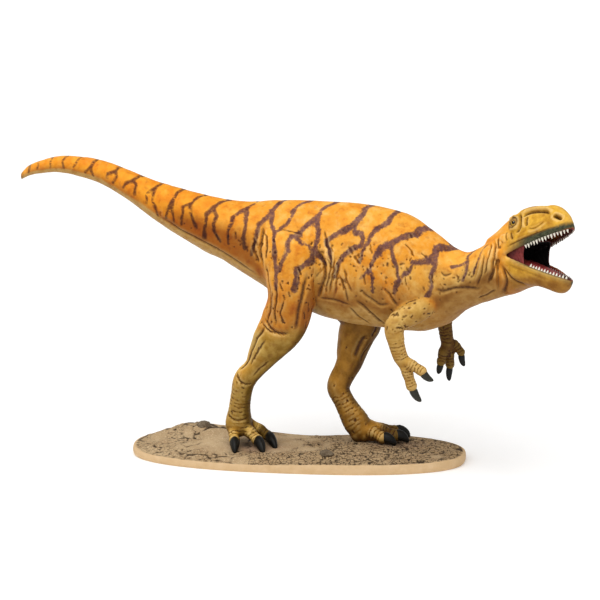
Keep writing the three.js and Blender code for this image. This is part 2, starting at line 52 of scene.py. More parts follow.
# %% Camera
AIM = Vector((2, -2, 71.6)) * MM
VIEW_TURN = 8  # degrees round the figure
VIEW_RISE = 13  # degrees above the floor
VIEW_AWAY = 1100 * MM
VIEW_WIDTH = 260.4 * MM  # how much of the figure's plane the picture spans
FILM = 36


def looking(turn, rise):
    """The direction of view: level along +Y, turned about Z by turn, dipped by rise."""
    a, e = np.radians([turn, rise])
    return Vector((-np.sin(a) * np.cos(e), np.cos(a) * np.cos(e), -np.sin(e)))


def linked(name, data):
    """A new object of the scene that shows a lens, a lamp or a mesh."""
    made = bpy.data.objects.new(name, data)
    bpy.context.scene.collection.objects.link(made)
    return made


def add_camera():
    lens = bpy.data.cameras.new("camera")
    lens.sensor_width = FILM
    lens.lens = FILM * VIEW_AWAY / VIEW_WIDTH
    lens.clip_end = 50
    camera = linked("camera", lens)
    way = looking(VIEW_TURN, VIEW_RISE)
    camera.location = AIM - way * VIEW_AWAY
    camera.rotation_euler = way.to_track_quat("-Z", "Y").to_euler()
    bpy.context.scene.camera = camera


add_camera()
print("camera lens", round(bpy.context.scene.camera.data.lens, 1), "mm")

# %% Lamps and sky
SKY_STRENGTH = 0.5


def add_lamp(name, turn, rise, spread, strength):
    """A far, broad lamp, spread degrees wide, that shines along the direction turn and rise."""
    lamp = bpy.data.lights.new(name, "SUN")
    lamp.angle = np.radians(spread)
    lamp.energy = strength
    holder = linked(name, lamp)
    way = looking(turn, rise)
    holder.location = AIM - way
    holder.rotation_euler = way.to_track_quat("-Z", "Y").to_euler()


add_lamp("key_lamp", -32, 62, 70, 1.95)
add_lamp("fill_lamp", 20, 35, 60, 0.2)
bpy.context.scene.view_settings.view_transform = "Standard"
sky = bpy.data.worlds.new("studio")
sky.use_nodes = True
glow = sky.node_tree.nodes["Background"].inputs
glow["Color"].default_value = (1, 1, 1, 1)
glow["Strength"].default_value = SKY_STRENGTH
bpy.context.scene.world = sky
print("lamps: key and fill; sky", SKY_STRENGTH)

# %% [markdown]
# ## Helpers for meshes and for paint
# Every piece is a list of points and faces made by numpy, so one function turns arrays into an object.
# The paints are node trees: each way of a paint adds a node or two and joins or sets their sockets.

# %% Mesh helpers


def new_piece(name, points, faces, material=None):
    """An object at the origin from points in millimetres and lists of point numbers."""
    mesh = bpy.data.meshes.new(name)
    mesh.from_pydata((np.asarray(points) * MM).tolist(), [], faces)
    mesh.polygons.foreach_set("use_smooth", np.ones(len(mesh.polygons), bool))
    if material:
        mesh.materials.append(material)
    return linked(name, mesh)


def keep_values(piece, **columns):
    """Each column becomes a float attribute with one value for each point."""
    for name, values in columns.items():
        layer = piece.data.attributes.new(name, "FLOAT", "POINT")
        layer.data.foreach_set("value", np.asarray(values, np.float32))


def grid_faces(rings, sides):
    """Quads between neighbouring rings of a tube that closes on itself."""
    index = np.arange(rings * sides).reshape(rings, sides)
    beside = np.roll(index, -1, axis=1)
    quads = np.stack([index[:-1], beside[:-1], beside[1:], index[1:]], axis=-1)
    return quads.reshape(-1, 4)


def closed_tube(rings):
    """Points and faces of a tube: quads between the rings and a fan round the middle of each end."""
    count, sides, _ = rings.shape
    points = np.vstack([rings.reshape(-1, 3), rings[0].mean(0), rings[-1].mean(0)])
    near = np.arange(sides)
    far = near + (count - 1) * sides
    hub = count * sides
    start = np.stack([np.roll(near, -1), near, np.full(sides, hub)], axis=-1)
    end = np.stack([far, np.roll(far, -1), np.full(sides, hub + 1)], axis=-1)
    return points, grid_faces(count, sides).tolist() + start.tolist() + end.tolist()


def gathered(shells):
    """Several shells as one list of points and faces, each shell's numbers moved past the last."""
    starts = np.cumsum([0] + [len(points) for points, _ in shells])
    faces = [[n + start for n in face] for start, (_, some) in zip(starts, shells) for face in some]
    return np.vstack([points for points, _ in shells]), faces


print("mesh helpers ready")

# %% Curves and steps


def circle(sides):
    """Angles at equal steps round a circle."""
    return np.linspace(0, 2 * np.pi, sides, endpoint=False)


def unit(vectors):
    return vectors / np.linalg.norm(vectors, axis=-1, keepdims=True)


def step(values, low, high):
    """A smooth step: 0 below low, 1 above high, 3t^2 - 2t^3 between."""
    t = np.clip((values - low) / (high - low), 0, 1)
    return t * t * (3 - 2 * t)


def bell(values, width):
    """A soft bump: exp(-(value / width)^2)."""
    return np.exp(-((values / width) ** 2))


print("half way up a smooth step:", float(step(0.5, 0, 1)))

# %% Noise


def chance(cells, seed):
    """A repeatable number from 0 to 1 for each whole-numbered cell, from its three numbers mixed."""
    c = cells.astype(np.int64)
    mixed = c[..., 0] * 73856093 ^ c[..., 1] * 19349663 ^ c[..., 2] * 83492791 ^ (seed + 7) * 2654435761
    mixed = (mixed ^ mixed >> 13) * 1274126177
    return ((mixed ^ mixed >> 16) & 0xFFFFFF) / 0xFFFFFF


def noise(points, size, seed=0):
    """Smooth noise from -1 to 1: chances on a cubic lattice size apart, blended by smooth steps."""
    place = points / size
    cell = np.floor(place)
    t = step(place - cell, 0, 1)
    total = 0
    for corner in np.ndindex(2, 2, 2):
        weight = np.prod(np.where(corner, t, 1 - t), axis=-1)
        total = total + weight * chance(cell + corner, seed)
    return 2 * total - 1


def rough(points, size, seed=0, layers=3):
    """Noise laid over itself: each layer half as large and half as strong as the one before."""
    return sum(noise(points, size / 2**k, seed + k) / 2**k for k in range(layers))


print("noise at one place", np.round(noise(np.zeros((1, 3)) + 0.5, 1.7)[0], 3))

# %% Paint helpers


def tint(code):
    """A colour code as the linear light that Blender mixes."""
    shades = np.array([int(code[k : k + 2], 16) for k in (1, 3, 5)]) / 255
    light = np.where(shades <= 0.04045, shades / 12.92, ((shades + 0.055) / 1.055) ** 2.4)
    return (*light.tolist(), 1)


class Paint:
    """A material in the making, with short ways to add nodes to its tree."""

    def __init__(self, name, **fixed):
        """Fixed values go to the shader's own sockets."""
        self.material = bpy.data.materials.new(name)
        self.material.use_nodes = True
        self.tree = self.material.node_tree
        self.shader = self.tree.nodes["Principled BSDF"]
        for socket, value in fixed.items():
            self.shader.inputs[socket.replace("_", " ")].default_value = value

    def node(self, kind, sockets, **settings):
        """A node with its settings; a socket is joined to a socket, or set to a value or a colour code."""
        node = self.tree.nodes.new(kind)
        for name, value in settings.items():
            setattr(node, name, value)
        for name, value in sockets.items():
            if isinstance(value, bpy.types.NodeSocket):
                self.tree.links.new(value, node.inputs[name])
            else:
                node.inputs[name].default_value = tint(value) if isinstance(value, str) else value
        return node

    def place(self):
        """The piece's own coordinates."""
        return self.node("ShaderNodeTexCoord", {}).outputs["Object"]

    def stored(self, name):
        return self.node("ShaderNodeAttribute", {}, attribute_name=name).outputs["Fac"]

    def mottle(self, size, detail=3, roughness=0.6, warp=0):
        """Noise whose patches are about size millimetres wide."""
        sockets = {"Vector": self.place(), "Scale": 1 / (size * MM), "Detail": detail}
        sockets.update({"Roughness": roughness, "Distortion": warp})
        return self.node("ShaderNodeTexNoise", sockets).outputs["Fac"]

    def ramp(self, value, low, high, least=0.0, most=1.0):
        """Value from low to high stretched to least to most, and held there outside."""
        sockets = {"Value": value, "From Min": low, "From Max": high, "To Min": least, "To Max": most}
        return self.node("ShaderNodeMapRange", sockets).outputs["Result"]

    def maths(self, way, first, second):
        return self.node("ShaderNodeMath", {0: first, 1: second}, operation=way).outputs[0]

    def mixed(self, amount, first, second, way="MIX"):
        """The second colour laid over the first by amount."""
        sockets = {0: amount, 6: first, 7: second}
        return self.node("ShaderNodeMix", sockets, data_type="RGBA", blend_type=way).outputs[2]

    def dappled(self, value, first, second, low=0.35, high=0.65):
        """The first colour where value is below low, the second where it is above high."""
        return self.mixed(self.ramp(value, low, high), first, second)

    def finish(self, colour, roughness, height, depth):
        """Joins colour, roughness and a bump of depth millimetres to the shader; gives the material."""
        bump = self.node("ShaderNodeBump", {"Height": height, "Distance": depth * MM, "Strength": 1.0})
        joined = {"Base Color": colour, "Roughness": roughness, "Normal": bump.outputs["Normal"]}
        for name, value in joined.items():
            self.tree.links.new(value, self.shader.inputs[name])
        return self.material


print("paint helpers ready")

# %% The floor
FLOOR_RINGS = np.array([200, 800, 3000, 12000])
FLOOR_SIDES = 48


def floor_paint():
    """Matt white paper with a trace of tooth, lit a little from behind so that shadows stay light."""
    mix = Paint("studio_paper", Emission_Color=(1, 1, 1, 1), Emission_Strength=0.15)
    grain = mix.mottle(40)
    colour = mix.dappled(grain, "#F6F6F5", "#FAFAFA", 0.3, 0.7)
    return mix.finish(colour, mix.ramp(grain, 0, 1, 0.85, 0.95), grain, 0.02)


def floor_piece():
    """A flat disc, rings of growing radius about the figure."""
    a = circle(FLOOR_SIDES)
    rim = np.stack([np.cos(a), np.sin(a), 0 * a], axis=-1)
    points = (FLOOR_RINGS[:, None, None] * rim).reshape(-1, 3)
    faces = grid_faces(len(FLOOR_RINGS), FLOOR_SIDES)[:, ::-1].tolist() + [list(range(FLOOR_SIDES))]
    return new_piece("floor", points, faces, floor_paint())


floor_piece()
print("floor laid")

# %% [markdown]
# ## The flesh as tubes
# A sculptor starts with simple masses: a long spine that swells into the body, two legs, two arms.
# Each mass is a profile carried along a path. The rows below are the stations that the solids use, and one
# muscle more: the middle of a section, then its half sizes. A smooth curve runs through every column.

# %% Spine and neck
# Spine: x, y, z, half width, half height, from the tip of the tail to the back of the head.
SPINE = np.array(
    [
        [-125.5, 16, 119.6, 1.5, 1.7], [-120, 15.6, 123.2, 2.2, 2.6], [-108, 14, 126, 3.1, 3.6],
        [-97, 12.5, 125.3, 3.9, 4.5], [-86, 11, 122.8, 4.8, 5.4], [-75, 9.5, 118.2, 5.8, 6.5],
        [-64, 8, 112.7, 7, 8.4], [-53, 6.5, 107.8, 8.3, 10.3], [-42, 5, 103.9, 9.8, 12],
        [-31, 4, 100.4, 11.5, 13.6], [-20, 3, 97.1, 13, 16.5], [-9.6, 2.5, 94.2, 14.5, 20.4],
        [1.4, 2, 91.4, 15.5, 23.4], [12.4, 2, 89.3, 16, 25.5], [23.3, 2, 87.9, 16.5, 26.3],
        [34.2, 2, 86.8, 16.5, 26.4], [43, 1.5, 85.6, 16, 26], [51, 1, 84, 15.3, 24.8],
        [57, 0, 82.2, 14.3, 22.7], [63, -1.2, 81.1, 12.8, 19.5], [68.4, -2.6, 80.6, 11.3, 16.2],
        [74.1, -4.6, 82.6, 9.8, 12.7], [80.3, -7, 85.9, 9, 12.4], [85.5, -9, 88.9, 8.6, 13.4],
        [91, -11.4, 91.8, 8.3, 13.9],
    ]
)
BACK_TAPER = 0.14  # how much narrower the back is than the belly
# The muscle on the neck's left side: the head is turned to the right, so it swells behind the skull.
NAPE = [
    [74, -4.6, 82.5, 8.4, 10], [80, -5.5, 86.5, 8.2, 10.5], [86, -5.4, 91, 7.7, 10], [92, -6.5, 95, 7.4, 8]
]
print("stations: spine", len(SPINE), "neck", len(NAPE))

# %% Legs and arms
# Limbs: x, y, z, half thickness across, half thickness fore and aft, from the body outwards.
LEGS = {
    "right": [
        [1, -7, 102, 6, 11], [-0.4, -9, 95, 8.5, 13.4], [0, -10.5, 84.5, 9, 12.2],
        [-0.6, -11, 73.6, 8.4, 10.2], [-3.6, -11, 63.7, 7.2, 10.2], [-8.6, -10, 55.3, 6.4, 8.7],
        [-16.2, -7, 43.1, 4.8, 5.2], [-21.7, -5, 36.1, 4.5, 4.9], [-24, -3, 27.8, 4.4, 4.5],
        [-25, -1.5, 20.9, 5, 4.9], [-25.5, 0, 14.5, 5.8, 6.1], [-25, 1, 10, 5, 5],
    ],
    "left": [
        [5, 9, 95, 6, 10], [9.6, 12, 85.5, 8.4, 12.5], [19.6, 13.8, 72.9, 8.6, 11],
        [26.6, 14.6, 61, 7.4, 9.8], [25, 14.4, 52.7, 6.4, 8.1], [21.6, 13, 40.7, 4.9, 5.9],
        [17.4, 11, 30.4, 4.5, 5.2], [20.2, 10, 23.2, 4.4, 4.7], [25.4, 9.2, 14.6, 5, 6],
        [28.8, 9, 10.5, 4.7, 5.1],
    ],
}
ARMS = {
    "right": [
        [63, -7, 77, 4.2, 5], [55, -12.6, 71.6, 4.6, 5.2], [45.4, -16.4, 66, 3.9, 4.3],
        [45.4, -16.4, 58, 3.3, 3.7], [47.6, -15, 50, 2.9, 3.2],
    ],
    "left": [
        [56, 8, 78, 4, 5], [59, 13.6, 71, 3.8, 4.2], [63, 17.2, 63.2, 3.1, 3.5],
        [63.8, 17, 56, 2.9, 3.3], [64.8, 16.4, 50, 2.7, 2.9],
    ],
}
print("stations of each leg:", [len(rows) for rows in LEGS.values()])

# %% Tubes along a path
UP = np.array([0.0, 0.0, 1.0])
LEFT = np.array([0.0, 1.0, 0.0])


def row_numbers(rows, count):
    """Row numbers at equal steps from the first row of a table to its last."""
    return np.linspace(0, len(rows) - 1, count)


def between(rows, at):
    """Smooth values between rows: a Catmull-Rom curve through every column, at a row number."""
    rows = np.asarray(rows, float)
    held = np.vstack([2 * rows[0] - rows[1], rows, 2 * rows[-1] - rows[-2]])
    at = np.clip(np.asarray(at, float), 0, len(rows) - 1)
    i = np.minimum(at.astype(int), len(rows) - 2)
    t = (at - i)[..., None]
    a, b, c, d = held[i], held[i + 1], held[i + 2], held[i + 3]
    bend = (2 * a - 5 * b + 4 * c - d) * t**2 + (3 * b - a - 3 * c + d) * t**3
    return b + 0.5 * ((c - a) * t + bend)


def directions(middles, upright):
    """Unit vectors along, across and above a path; an upright path keeps its sections vertical."""
    along = unit(np.gradient(middles, axis=0))
    if upright:
        across = unit(np.cross(UP, along))
        return along, across, np.broadcast_to(UP, along.shape)
    across = unit(LEFT - along * along[:, 1:2])
    return along, across, np.cross(along, across)


def tube(rows, count, sides, upright=False, taper=0.0):
    """Rings of a limb: middle + across w cos a (1 - taper sin a) + above h sin a."""
    rows = between(rows, row_numbers(rows, count))
    _, across, above = directions(rows[:, :3], upright)
    a = circle(sides)
    reach = rows[:, 3:4] * np.cos(a) * (1 - taper * np.sin(a))
    rise = rows[:, -1:] * np.sin(a)
    return rows[:, None, :3] + across[:, None] * reach[..., None] + above[:, None] * rise[..., None]


flesh = [closed_tube(tube(SPINE, 240, 64, True, BACK_TAPER)), closed_tube(tube(NAPE, 40, 40, True))]
flesh += [closed_tube(tube(rows, 120, 40)) for rows in [*LEGS.values(), *ARMS.values()]]
print("spine and limbs:", sum(len(points) for points, _ in flesh), "points")

# %% [markdown]
# ## Toes, fingers and claws
# A digit is a short tube with a round end. Its knuckles swell a little.
# The claw is a curved cone: a quadratic Bezier line from inside the digit to the tip, and a half
# thickness that shrinks faster towards the end.

# %% Toes and fingers
# Root, knuckle and end with the half thickness, then the tip of the claw.
TOES = {
    "right_outer": (
        [-26.6, 0.5, 14.5, 3.3], [-26.9, -4, 10.8, 2.7], [-26.2, -7.6, 8.6, 2.5], [-24.8, -15.4, 4.9],
    ),
    "right_middle": (
        [-23.8, -0.5, 14.5, 3.4], [-19.6, -3, 10.9, 2.8], [-16.4, -5.6, 8.7, 2.6], [-12.4, -13.8, 4.9],
    ),
    "right_inner": (
        [-22.8, 2, 14.3, 3.2], [-16.6, 3.1, 10.9, 2.7], [-12.6, 1.2, 8.9, 2.5], [-7.9, -7, 4.9],
    ),
    "left_inner": ([29, 8, 12.6, 3.3], [33.5, 6.6, 10.4, 2.8], [37.4, 5.7, 8.6, 2.5], [43.6, 4.3, 5.8]),
    "left_middle": ([30, 9.6, 12.6, 3.4], [37, 10, 10.4, 2.8], [42.6, 9.8, 8.7, 2.6], [48.6, 9.9, 5.8]),
    "left_outer": (
        [29.5, 11.2, 12.4, 3.2], [36.6, 13.8, 10.2, 2.7], [42, 15, 9.2, 2.6], [48.6, 16.4, 6.4],
    ),
}
# The pad under the left heel, from the toes' roots to the back.
HEEL = [[34, 8, 9.4, 3.0], [29.8, 8.4, 9.6, 3.7], [26.8, 8.8, 9.7, 4.0]]
FINGERS = {
    "right_first": (
        [47.8, -15, 50, 2.8], [52.2, -15.6, 47.8, 2.4], [56.6, -16, 45.3, 2.1], [61.8, -17, 41.6],
    ),
    "right_second": (
        [47.7, -15, 50, 2.8], [50.2, -14.2, 44, 2.4], [52, -13.5, 37.8, 2.2], [56.4, -13.5, 31.2],
    ),
    "right_third": (
        [47.7, -14, 50, 2.5], [49.2, -11, 44.8, 2.1], [50.8, -9.4, 40.2, 1.7], [53.2, -8.8, 34.8],
    ),
    "left_first": (
        [64.7, 16.2, 50, 2.6], [63.2, 15.4, 46, 2.2], [62.4, 14.6, 41.9, 1.8], [61.6, 14.2, 36.4],
    ),
    "left_second": ([64.8, 16.6, 50, 2.6], [65.8, 17.4, 45, 2.1], [66, 17.8, 40, 1.8], [66, 17.4, 32.6]),
    "left_third": (
        [64.9, 16.6, 50, 2.5], [68.2, 17.4, 49, 2.1], [70.8, 17.8, 45.8, 1.8], [72.6, 17.4, 39.6],
    ),
}
print("digits:", len(TOES), "toes and", len(FINGERS), "fingers")

# %% Digits in place


def digit_rows(rows):
    """Stations of a digit: the smooth curve, a knuckle swell of 7% and a round end."""
    body = between(np.array(rows[:3]), np.linspace(0, 2, 30))
    body[:, 3] *= 1 + 0.07 * np.cos(np.linspace(0, 4 * np.pi, 30))
    end = np.radians(np.linspace(12, 80, 7))[:, None]
    along = unit(body[-1, :3] - body[-2, :3])
    cap = np.hstack([body[-1, :3] + along * body[-1, 3] * np.sin(end), body[-1, 3] * np.cos(end)])
    return np.vstack([body, cap])


def digit_rings(rows, toe, sides=24):
    """Round rings about a digit's stations; a toe's path is level, a finger's hangs."""
    stations = digit_rows(rows)
    along, across, _ = directions(stations[:, :3], toe)
    above = np.cross(along, across)
    a = circle(sides)
    ring = across[:, None] * np.cos(a)[:, None] + above[:, None] * np.sin(a)[:, None]
    return stations[:, None, :3] + ring * stations[:, None, 3:]


flesh += [closed_tube(digit_rings(rows, True)) for rows in TOES.values()]
flesh.append(closed_tube(digit_rings(HEEL, True)))
flesh += [closed_tube(digit_rings(rows, False)) for rows in FINGERS.values()]
print("flesh:", len(flesh), "tubes")

# %% Claw shape
# The claw's thickness at its root as a share of the digit's, and how far its line arches.
TOE_CLAW, FINGER_CLAW = 1.06, 0.9
TOE_ARCH = np.array([0, 0, 2.5])
FINGER_ARCH = np.array([-1.0, 0, -1.4])


def claw_rings(rows, arch, root_share, toe, count=30, sides=20):
    """A Bezier line r(1-t)^2 + 2mt(1-t) + pt^2; half thickness h(1 - 0.6 t^2), rounding off at t = 1.
    The root narrows inside the digit. A keel along the top, a flat under side and fine growth ridges finish
    the section."""
    root, tip = np.array(rows[2][:3]), np.array(rows[3])
    crown = root + 0.55 * (tip - root) + arch
    t = np.sin(np.linspace(0, np.pi / 2, count))[:, None]
    line = root * (1 - t) ** 2 + 2 * crown * t * (1 - t) + tip * t**2
    along, across, _ = directions(line, toe)
    above = np.cross(along, across)
    half = rows[2][3] * root_share * (1 - 0.6 * t**2) * np.sqrt(1 - 0.99 * t**10)
    half = half * (0.74 + 0.26 * step(t, 0, 0.28))
    a = circle(sides)
    ridges = 1 + 0.02 * np.sin(46 * t + 2 * np.cos(a)) * (1 - t)
    wide = 0.88 * half * ridges * np.cos(a) * (1 - 0.14 * np.sin(a))
    high = half * ridges * np.where(np.sin(a) < 0, 0.88, 1.06) * np.sin(a)
    return line[:, None] + across[:, None] * wide[..., None] + above[:, None] * high[..., None]


sample_claw = claw_rings(FINGERS["right_second"], FINGER_ARCH, FINGER_CLAW, False)
print("a finger's claw spans", np.round(np.ptp(sample_claw, axis=(0, 1)), 1), "mm")

# %% Claw paint


def claw_paint():
    """Near-black olive horn with streaks; the right hand's claws are painted paler as if lit, the left
    hand's stay dark as if in shade.
    """
    mix = Paint("claw_paint", Specular_IOR_Level=0.22)
    streak = mix.mottle(0.7, 4, 0.6, 0.8)
    colour = mix.dappled(mix.mottle(3), "#060504", "#12100A", 0.35, 0.7)
    colour = mix.mixed(mix.ramp(streak, 0.58, 0.75, 0, 0.4), colour, "#38341F")
    # Painted light: the right hand's claws turn paler grey, the left hand's stay dark as in shade.
    colour = mix.mixed(mix.stored("worn"), colour, "#3C3B30")
    return mix.finish(colour, mix.ramp(streak, 0.3, 0.7, 0.35, 0.52), streak, 0.06)


claws = claw_paint()
print("claw paint:", len(claws.node_tree.nodes), "nodes")

# %% Claws in place
HANDLED = 0.55  # how much paler the right hand's claws are painted, as painted light
kinds = (("toe", TOES, TOE_ARCH, TOE_CLAW), ("finger", FINGERS, FINGER_ARCH, FINGER_CLAW))
for kind, table, arch, root_share in kinds:
    for name, rows in table.items():
        shell = closed_tube(claw_rings(rows, arch, root_share, kind == "toe"))
        piece = new_piece("horn_" + kind + "_" + name, *shell, claws)
        # Only the right hand's claws are painted paler, as lit; the left hand's stay dark as painted shade.
        worn = HANDLED if kind == "finger" and name.startswith("right") else 0.0
        keep_values(piece, worn=np.full(len(shell[0]), worn))
        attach(piece, "root")
        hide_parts(kind + "_claw_" + name)
print("claws:", len(TOES) + len(FINGERS))

# %% [markdown]
# ## The head
# The two jaws open about a hinge line. Each jaw is drawn closed in its own frame (forward, left, up) and
# then turned by half of the gape. A jaw's section is an arc outside and a hollow inside the mouth.

# %% Head frame
HINGE = np.array([93.6, -9.8, 95.1])
HEAD_YAW, HEAD_PITCH, HEAD_ROLL = -39, 10.8, -13
GAPE = 36
SKULL_OPEN, JAW_OPEN = GAPE / 2, -GAPE / 2


def turned(axis, degrees):
    """The rotation by that many degrees about axis 0, 1 or 2, as a 3 by 3 matrix."""
    c, s = np.cos(np.radians(degrees)), np.sin(np.radians(degrees))
    made = np.eye(3)
    i, j = (axis + 1) % 3, (axis + 2) % 3
    made[i, i], made[j, j], made[i, j], made[j, i] = c, c, -s, s
    return made


def head_turn(opened):
    """From a jaw's own directions to the model's: yaw, pitch, roll, then the jaw's opening."""
    return turned(2, HEAD_YAW) @ turned(1, -HEAD_PITCH) @ turned(0, HEAD_ROLL) @ turned(1, -opened)


def from_head(points, opened):
    return np.asarray(points) @ head_turn(opened).T + HINGE


def to_head(points, opened):
    return (points - HINGE) @ head_turn(opened)


print("the upper jaw points along", np.round(head_turn(SKULL_OPEN)[:, 0], 2))

# %% Jaws
SKULL_LENGTH, SKULL_HALF = 36.2, 8.8
JAW_LENGTH, JAW_HALF = 36.4, 8.4
LIP_DEPTH = 1.0
MOUTH_HOLLOW = 2.9
# Outlines in the side view, closed: forward of the hinge, and up.
SKULL_TOP = [
    [-12, 10.4], [-5, 11.9], [4, 14.5], [7, 15.2], [8.6, 15.4], [10.4, 14.8], [12, 16.2], [14.5, 16.5],
    [19, 15.8], [23, 14.4], [26, 13.2], [29, 12.6], [32.5, 9.9], [35, 6.2], [36.2, 3],
]
JAW_BOTTOM = [
    [-12, -23.4], [4, -15.8], [8.5, -12.8], [12, -10.3], [15.5, -8.4], [19, -7.2], [25.5, -6.8],
    [32, -6.6], [34.6, -5.2], [36.4, -3.2],
]


def profile(rows, forward):
    """Height of a profile in front of the hinge, on a smooth curve through its rows."""
    fine = between(rows, row_numbers(rows, 300))
    return np.interp(forward, fine[:, 0], fine[:, 1])


def jaw_half(half, reach, forward):
    """Half width: full at the hinge, closing round the tip as sqrt(1 - share^2.6)."""
    share = np.clip(forward / reach, 0, 0.998)
    return half * np.sqrt(1 - share**2.6)


def lip_line(forward):
    """The jaw's edge: 1.35 over the hinge line in front, on the middle plane behind the hinge."""
    return 0.15 + np.tan(np.radians(GAPE / 2)) * np.maximum(-forward, 0) + 1.2 * step(forward, 0, 6)


def jaw_rings(reach, half, rows, way, pinch, count=84, back=-7.5):
    """Rings of a jaw: an outer arc (w |cos|^0.6, lip to far by sin^0.75), then the mouth's hollow."""
    f = back + (reach - back) * np.sin(np.linspace(0, np.pi / 2, count))
    wide = jaw_half(half, reach, f)[:, None]
    lip = way * lip_line(f)[:, None]
    far = profile(rows, f)[:, None]
    hollow = MOUTH_HOLLOW * step(f, 1, 8) * (1 - step(f, reach - 6, reach - 1))
    a = np.linspace(0, np.pi, 44)
    outer_y = wide * np.sign(np.cos(a)) * np.abs(np.cos(a)) ** 0.6 * (1 - pinch * np.sin(a))
    outer_z = lip + (far - lip) * np.abs(np.sin(a)) ** 0.75
    b = np.linspace(0, np.pi, 24)
    inner_y = -np.maximum(wide - LIP_DEPTH, wide * 0.5) * np.cos(b)
    inner_z = lip + way * hollow[:, None] * np.abs(np.sin(b)) ** 0.7
    y, z = np.hstack([outer_y, inner_y]), np.hstack([outer_z, inner_z])
    rings = np.stack([np.broadcast_to(f[:, None], y.shape), y, z], axis=-1)
    return rings if way > 0 else rings[:, ::-1]


skull = jaw_rings(SKULL_LENGTH, SKULL_HALF, SKULL_TOP, 1, 0.3)
jaw = jaw_rings(JAW_LENGTH, JAW_HALF, JAW_BOTTOM, -1, 0.25)
print("skull reaches", np.round(from_head([SKULL_LENGTH, 0, 3], SKULL_OPEN), 1))

# %% Lips


def lip_roll(reach, half, way, hang, high, left_more=0.0, count=120, sides=16):
    """A soft roll along a jaw's edge, from one corner of the mouth round the tip to the other.
    The roll hangs past the edge, on the left side by left_more more."""
    t = np.linspace(-1, 1, count)
    tip = reach - 0.75
    f = tip - (tip + 1.5) * t**2
    y = np.sign(t) * (half - 0.75) * np.sqrt(1 - np.clip(f / tip, 0, 1) ** 2.6)
    more = left_more * step(t, 0.35, 0.65) * (1 - step(t, 0.8, 0.95))
    line = np.stack([f, y, way * (lip_line(f) - hang - more)], axis=-1)
    along = unit(np.gradient(line, axis=0))
    across = unit(np.cross(UP, along))
    a = circle(sides)
    tall = high * (1 + 0.3 * step(np.abs(t), 0.6, 0.9)) + 0.4 * more
    rise = np.outer(tall, np.sin(a))
    return line[:, None] + across[:, None] * (0.8 * np.cos(a))[:, None] + UP * rise[..., None]


upper_lip = lip_roll(SKULL_LENGTH, SKULL_HALF, 1, 0.95, 1.2)
lower_lip = lip_roll(JAW_LENGTH, JAW_HALF, -1, 0.7, 1.15, 0.9)
for rings, opened in ((skull, SKULL_OPEN), (upper_lip, SKULL_OPEN), (jaw, JAW_OPEN), (lower_lip, JAW_OPEN)):
    flesh.append(closed_tube(from_head(rings, opened)))
print("flesh:", len(flesh), "tubes with the head")

# %% [markdown]
# ## One skin over the flesh
# The real figure is cast in one piece, so no seam may show where a leg meets the body.
# A voxel remesh fills the overlapping tubes with small cubes and wraps one closed surface round them all.
# A few rounds of relaxing then melt the joins, as a thumb does in wax.

# %% Fuse the flesh
CUBE = 0.4


def applied(piece):
    """The mesh that a piece has once its modifiers have run; the piece itself is then removed."""
    made = bpy.data.meshes.new_from_object(piece.evaluated_get(bpy.context.evaluated_depsgraph_get()))
    bpy.data.objects.remove(piece)
    return made


def fused(shells):
    """One closed surface of quads round overlapping shells."""
    piece = new_piece("flesh", *gathered(shells))
    remesh = piece.modifiers.new("fuse", "REMESH")
    remesh.mode = "VOXEL"
    remesh.voxel_size = CUBE * MM
    return applied(piece)


skin_mesh = fused(flesh)
print("fused:", len(skin_mesh.polygons), "faces")

# %% The skin as arrays


def relaxed(points, edges, rounds, share=0.5):
    """Each round moves every point by share towards the mean of its neighbours."""
    size = len(points)
    count = np.bincount(edges.ravel(), minlength=size)[:, None]
    a, b = edges.T
    for _ in range(rounds):
        columns = [np.bincount(a, q[b], size) + np.bincount(b, q[a], size) for q in points.T]
        points = points + share * (np.stack(columns, axis=-1) / count - points)
    return points


def normals_of(points, quads):
    """The cross product of each quad's diagonals, added up at its corners."""
    p = points[quads]
    face = np.cross(p[:, 2] - p[:, 0], p[:, 3] - p[:, 1])
    columns = [np.bincount(quads.ravel(), np.repeat(c, 4), len(points)) for c in face.T]
    return unit(np.stack(columns, axis=-1))


def fetched(items, name, width, kind):
    """One property of all items, each width numbers long, as a flat array."""
    values = np.zeros(len(items) * width, kind)
    items.foreach_get(name, values)
    return values


skin = fetched(skin_mesh.vertices, "co", 3, np.float32).reshape(-1, 3).astype(float) / MM
edges = fetched(skin_mesh.edges, "vertices", 2, np.int32).reshape(-1, 2)
quads = fetched(skin_mesh.loops, "vertex_index", 1, np.int32).reshape(-1, 4)
print("skin:", len(skin), "points")

# %% [markdown]
# ## Where is each point on the animal?
# Folds and stripes follow the body, so each point of the skin gets places on charts.
# On the body chart it is the station along the spine and the way down the side from the middle of the back.
# On a limb it is the station along the limb and the angle round it. On the head it is the jaw's own frame.

# %% Body chart
SPINE_FINE = between(SPINE, row_numbers(SPINE, 2401))


def runs_of(points):
    """Length along a line of points, from its first."""
    return np.append(0, np.cumsum(np.linalg.norm(np.diff(points, axis=0), axis=1)))


def column(runs, place, k):
    return np.interp(place, runs, SPINE_FINE[:, k])


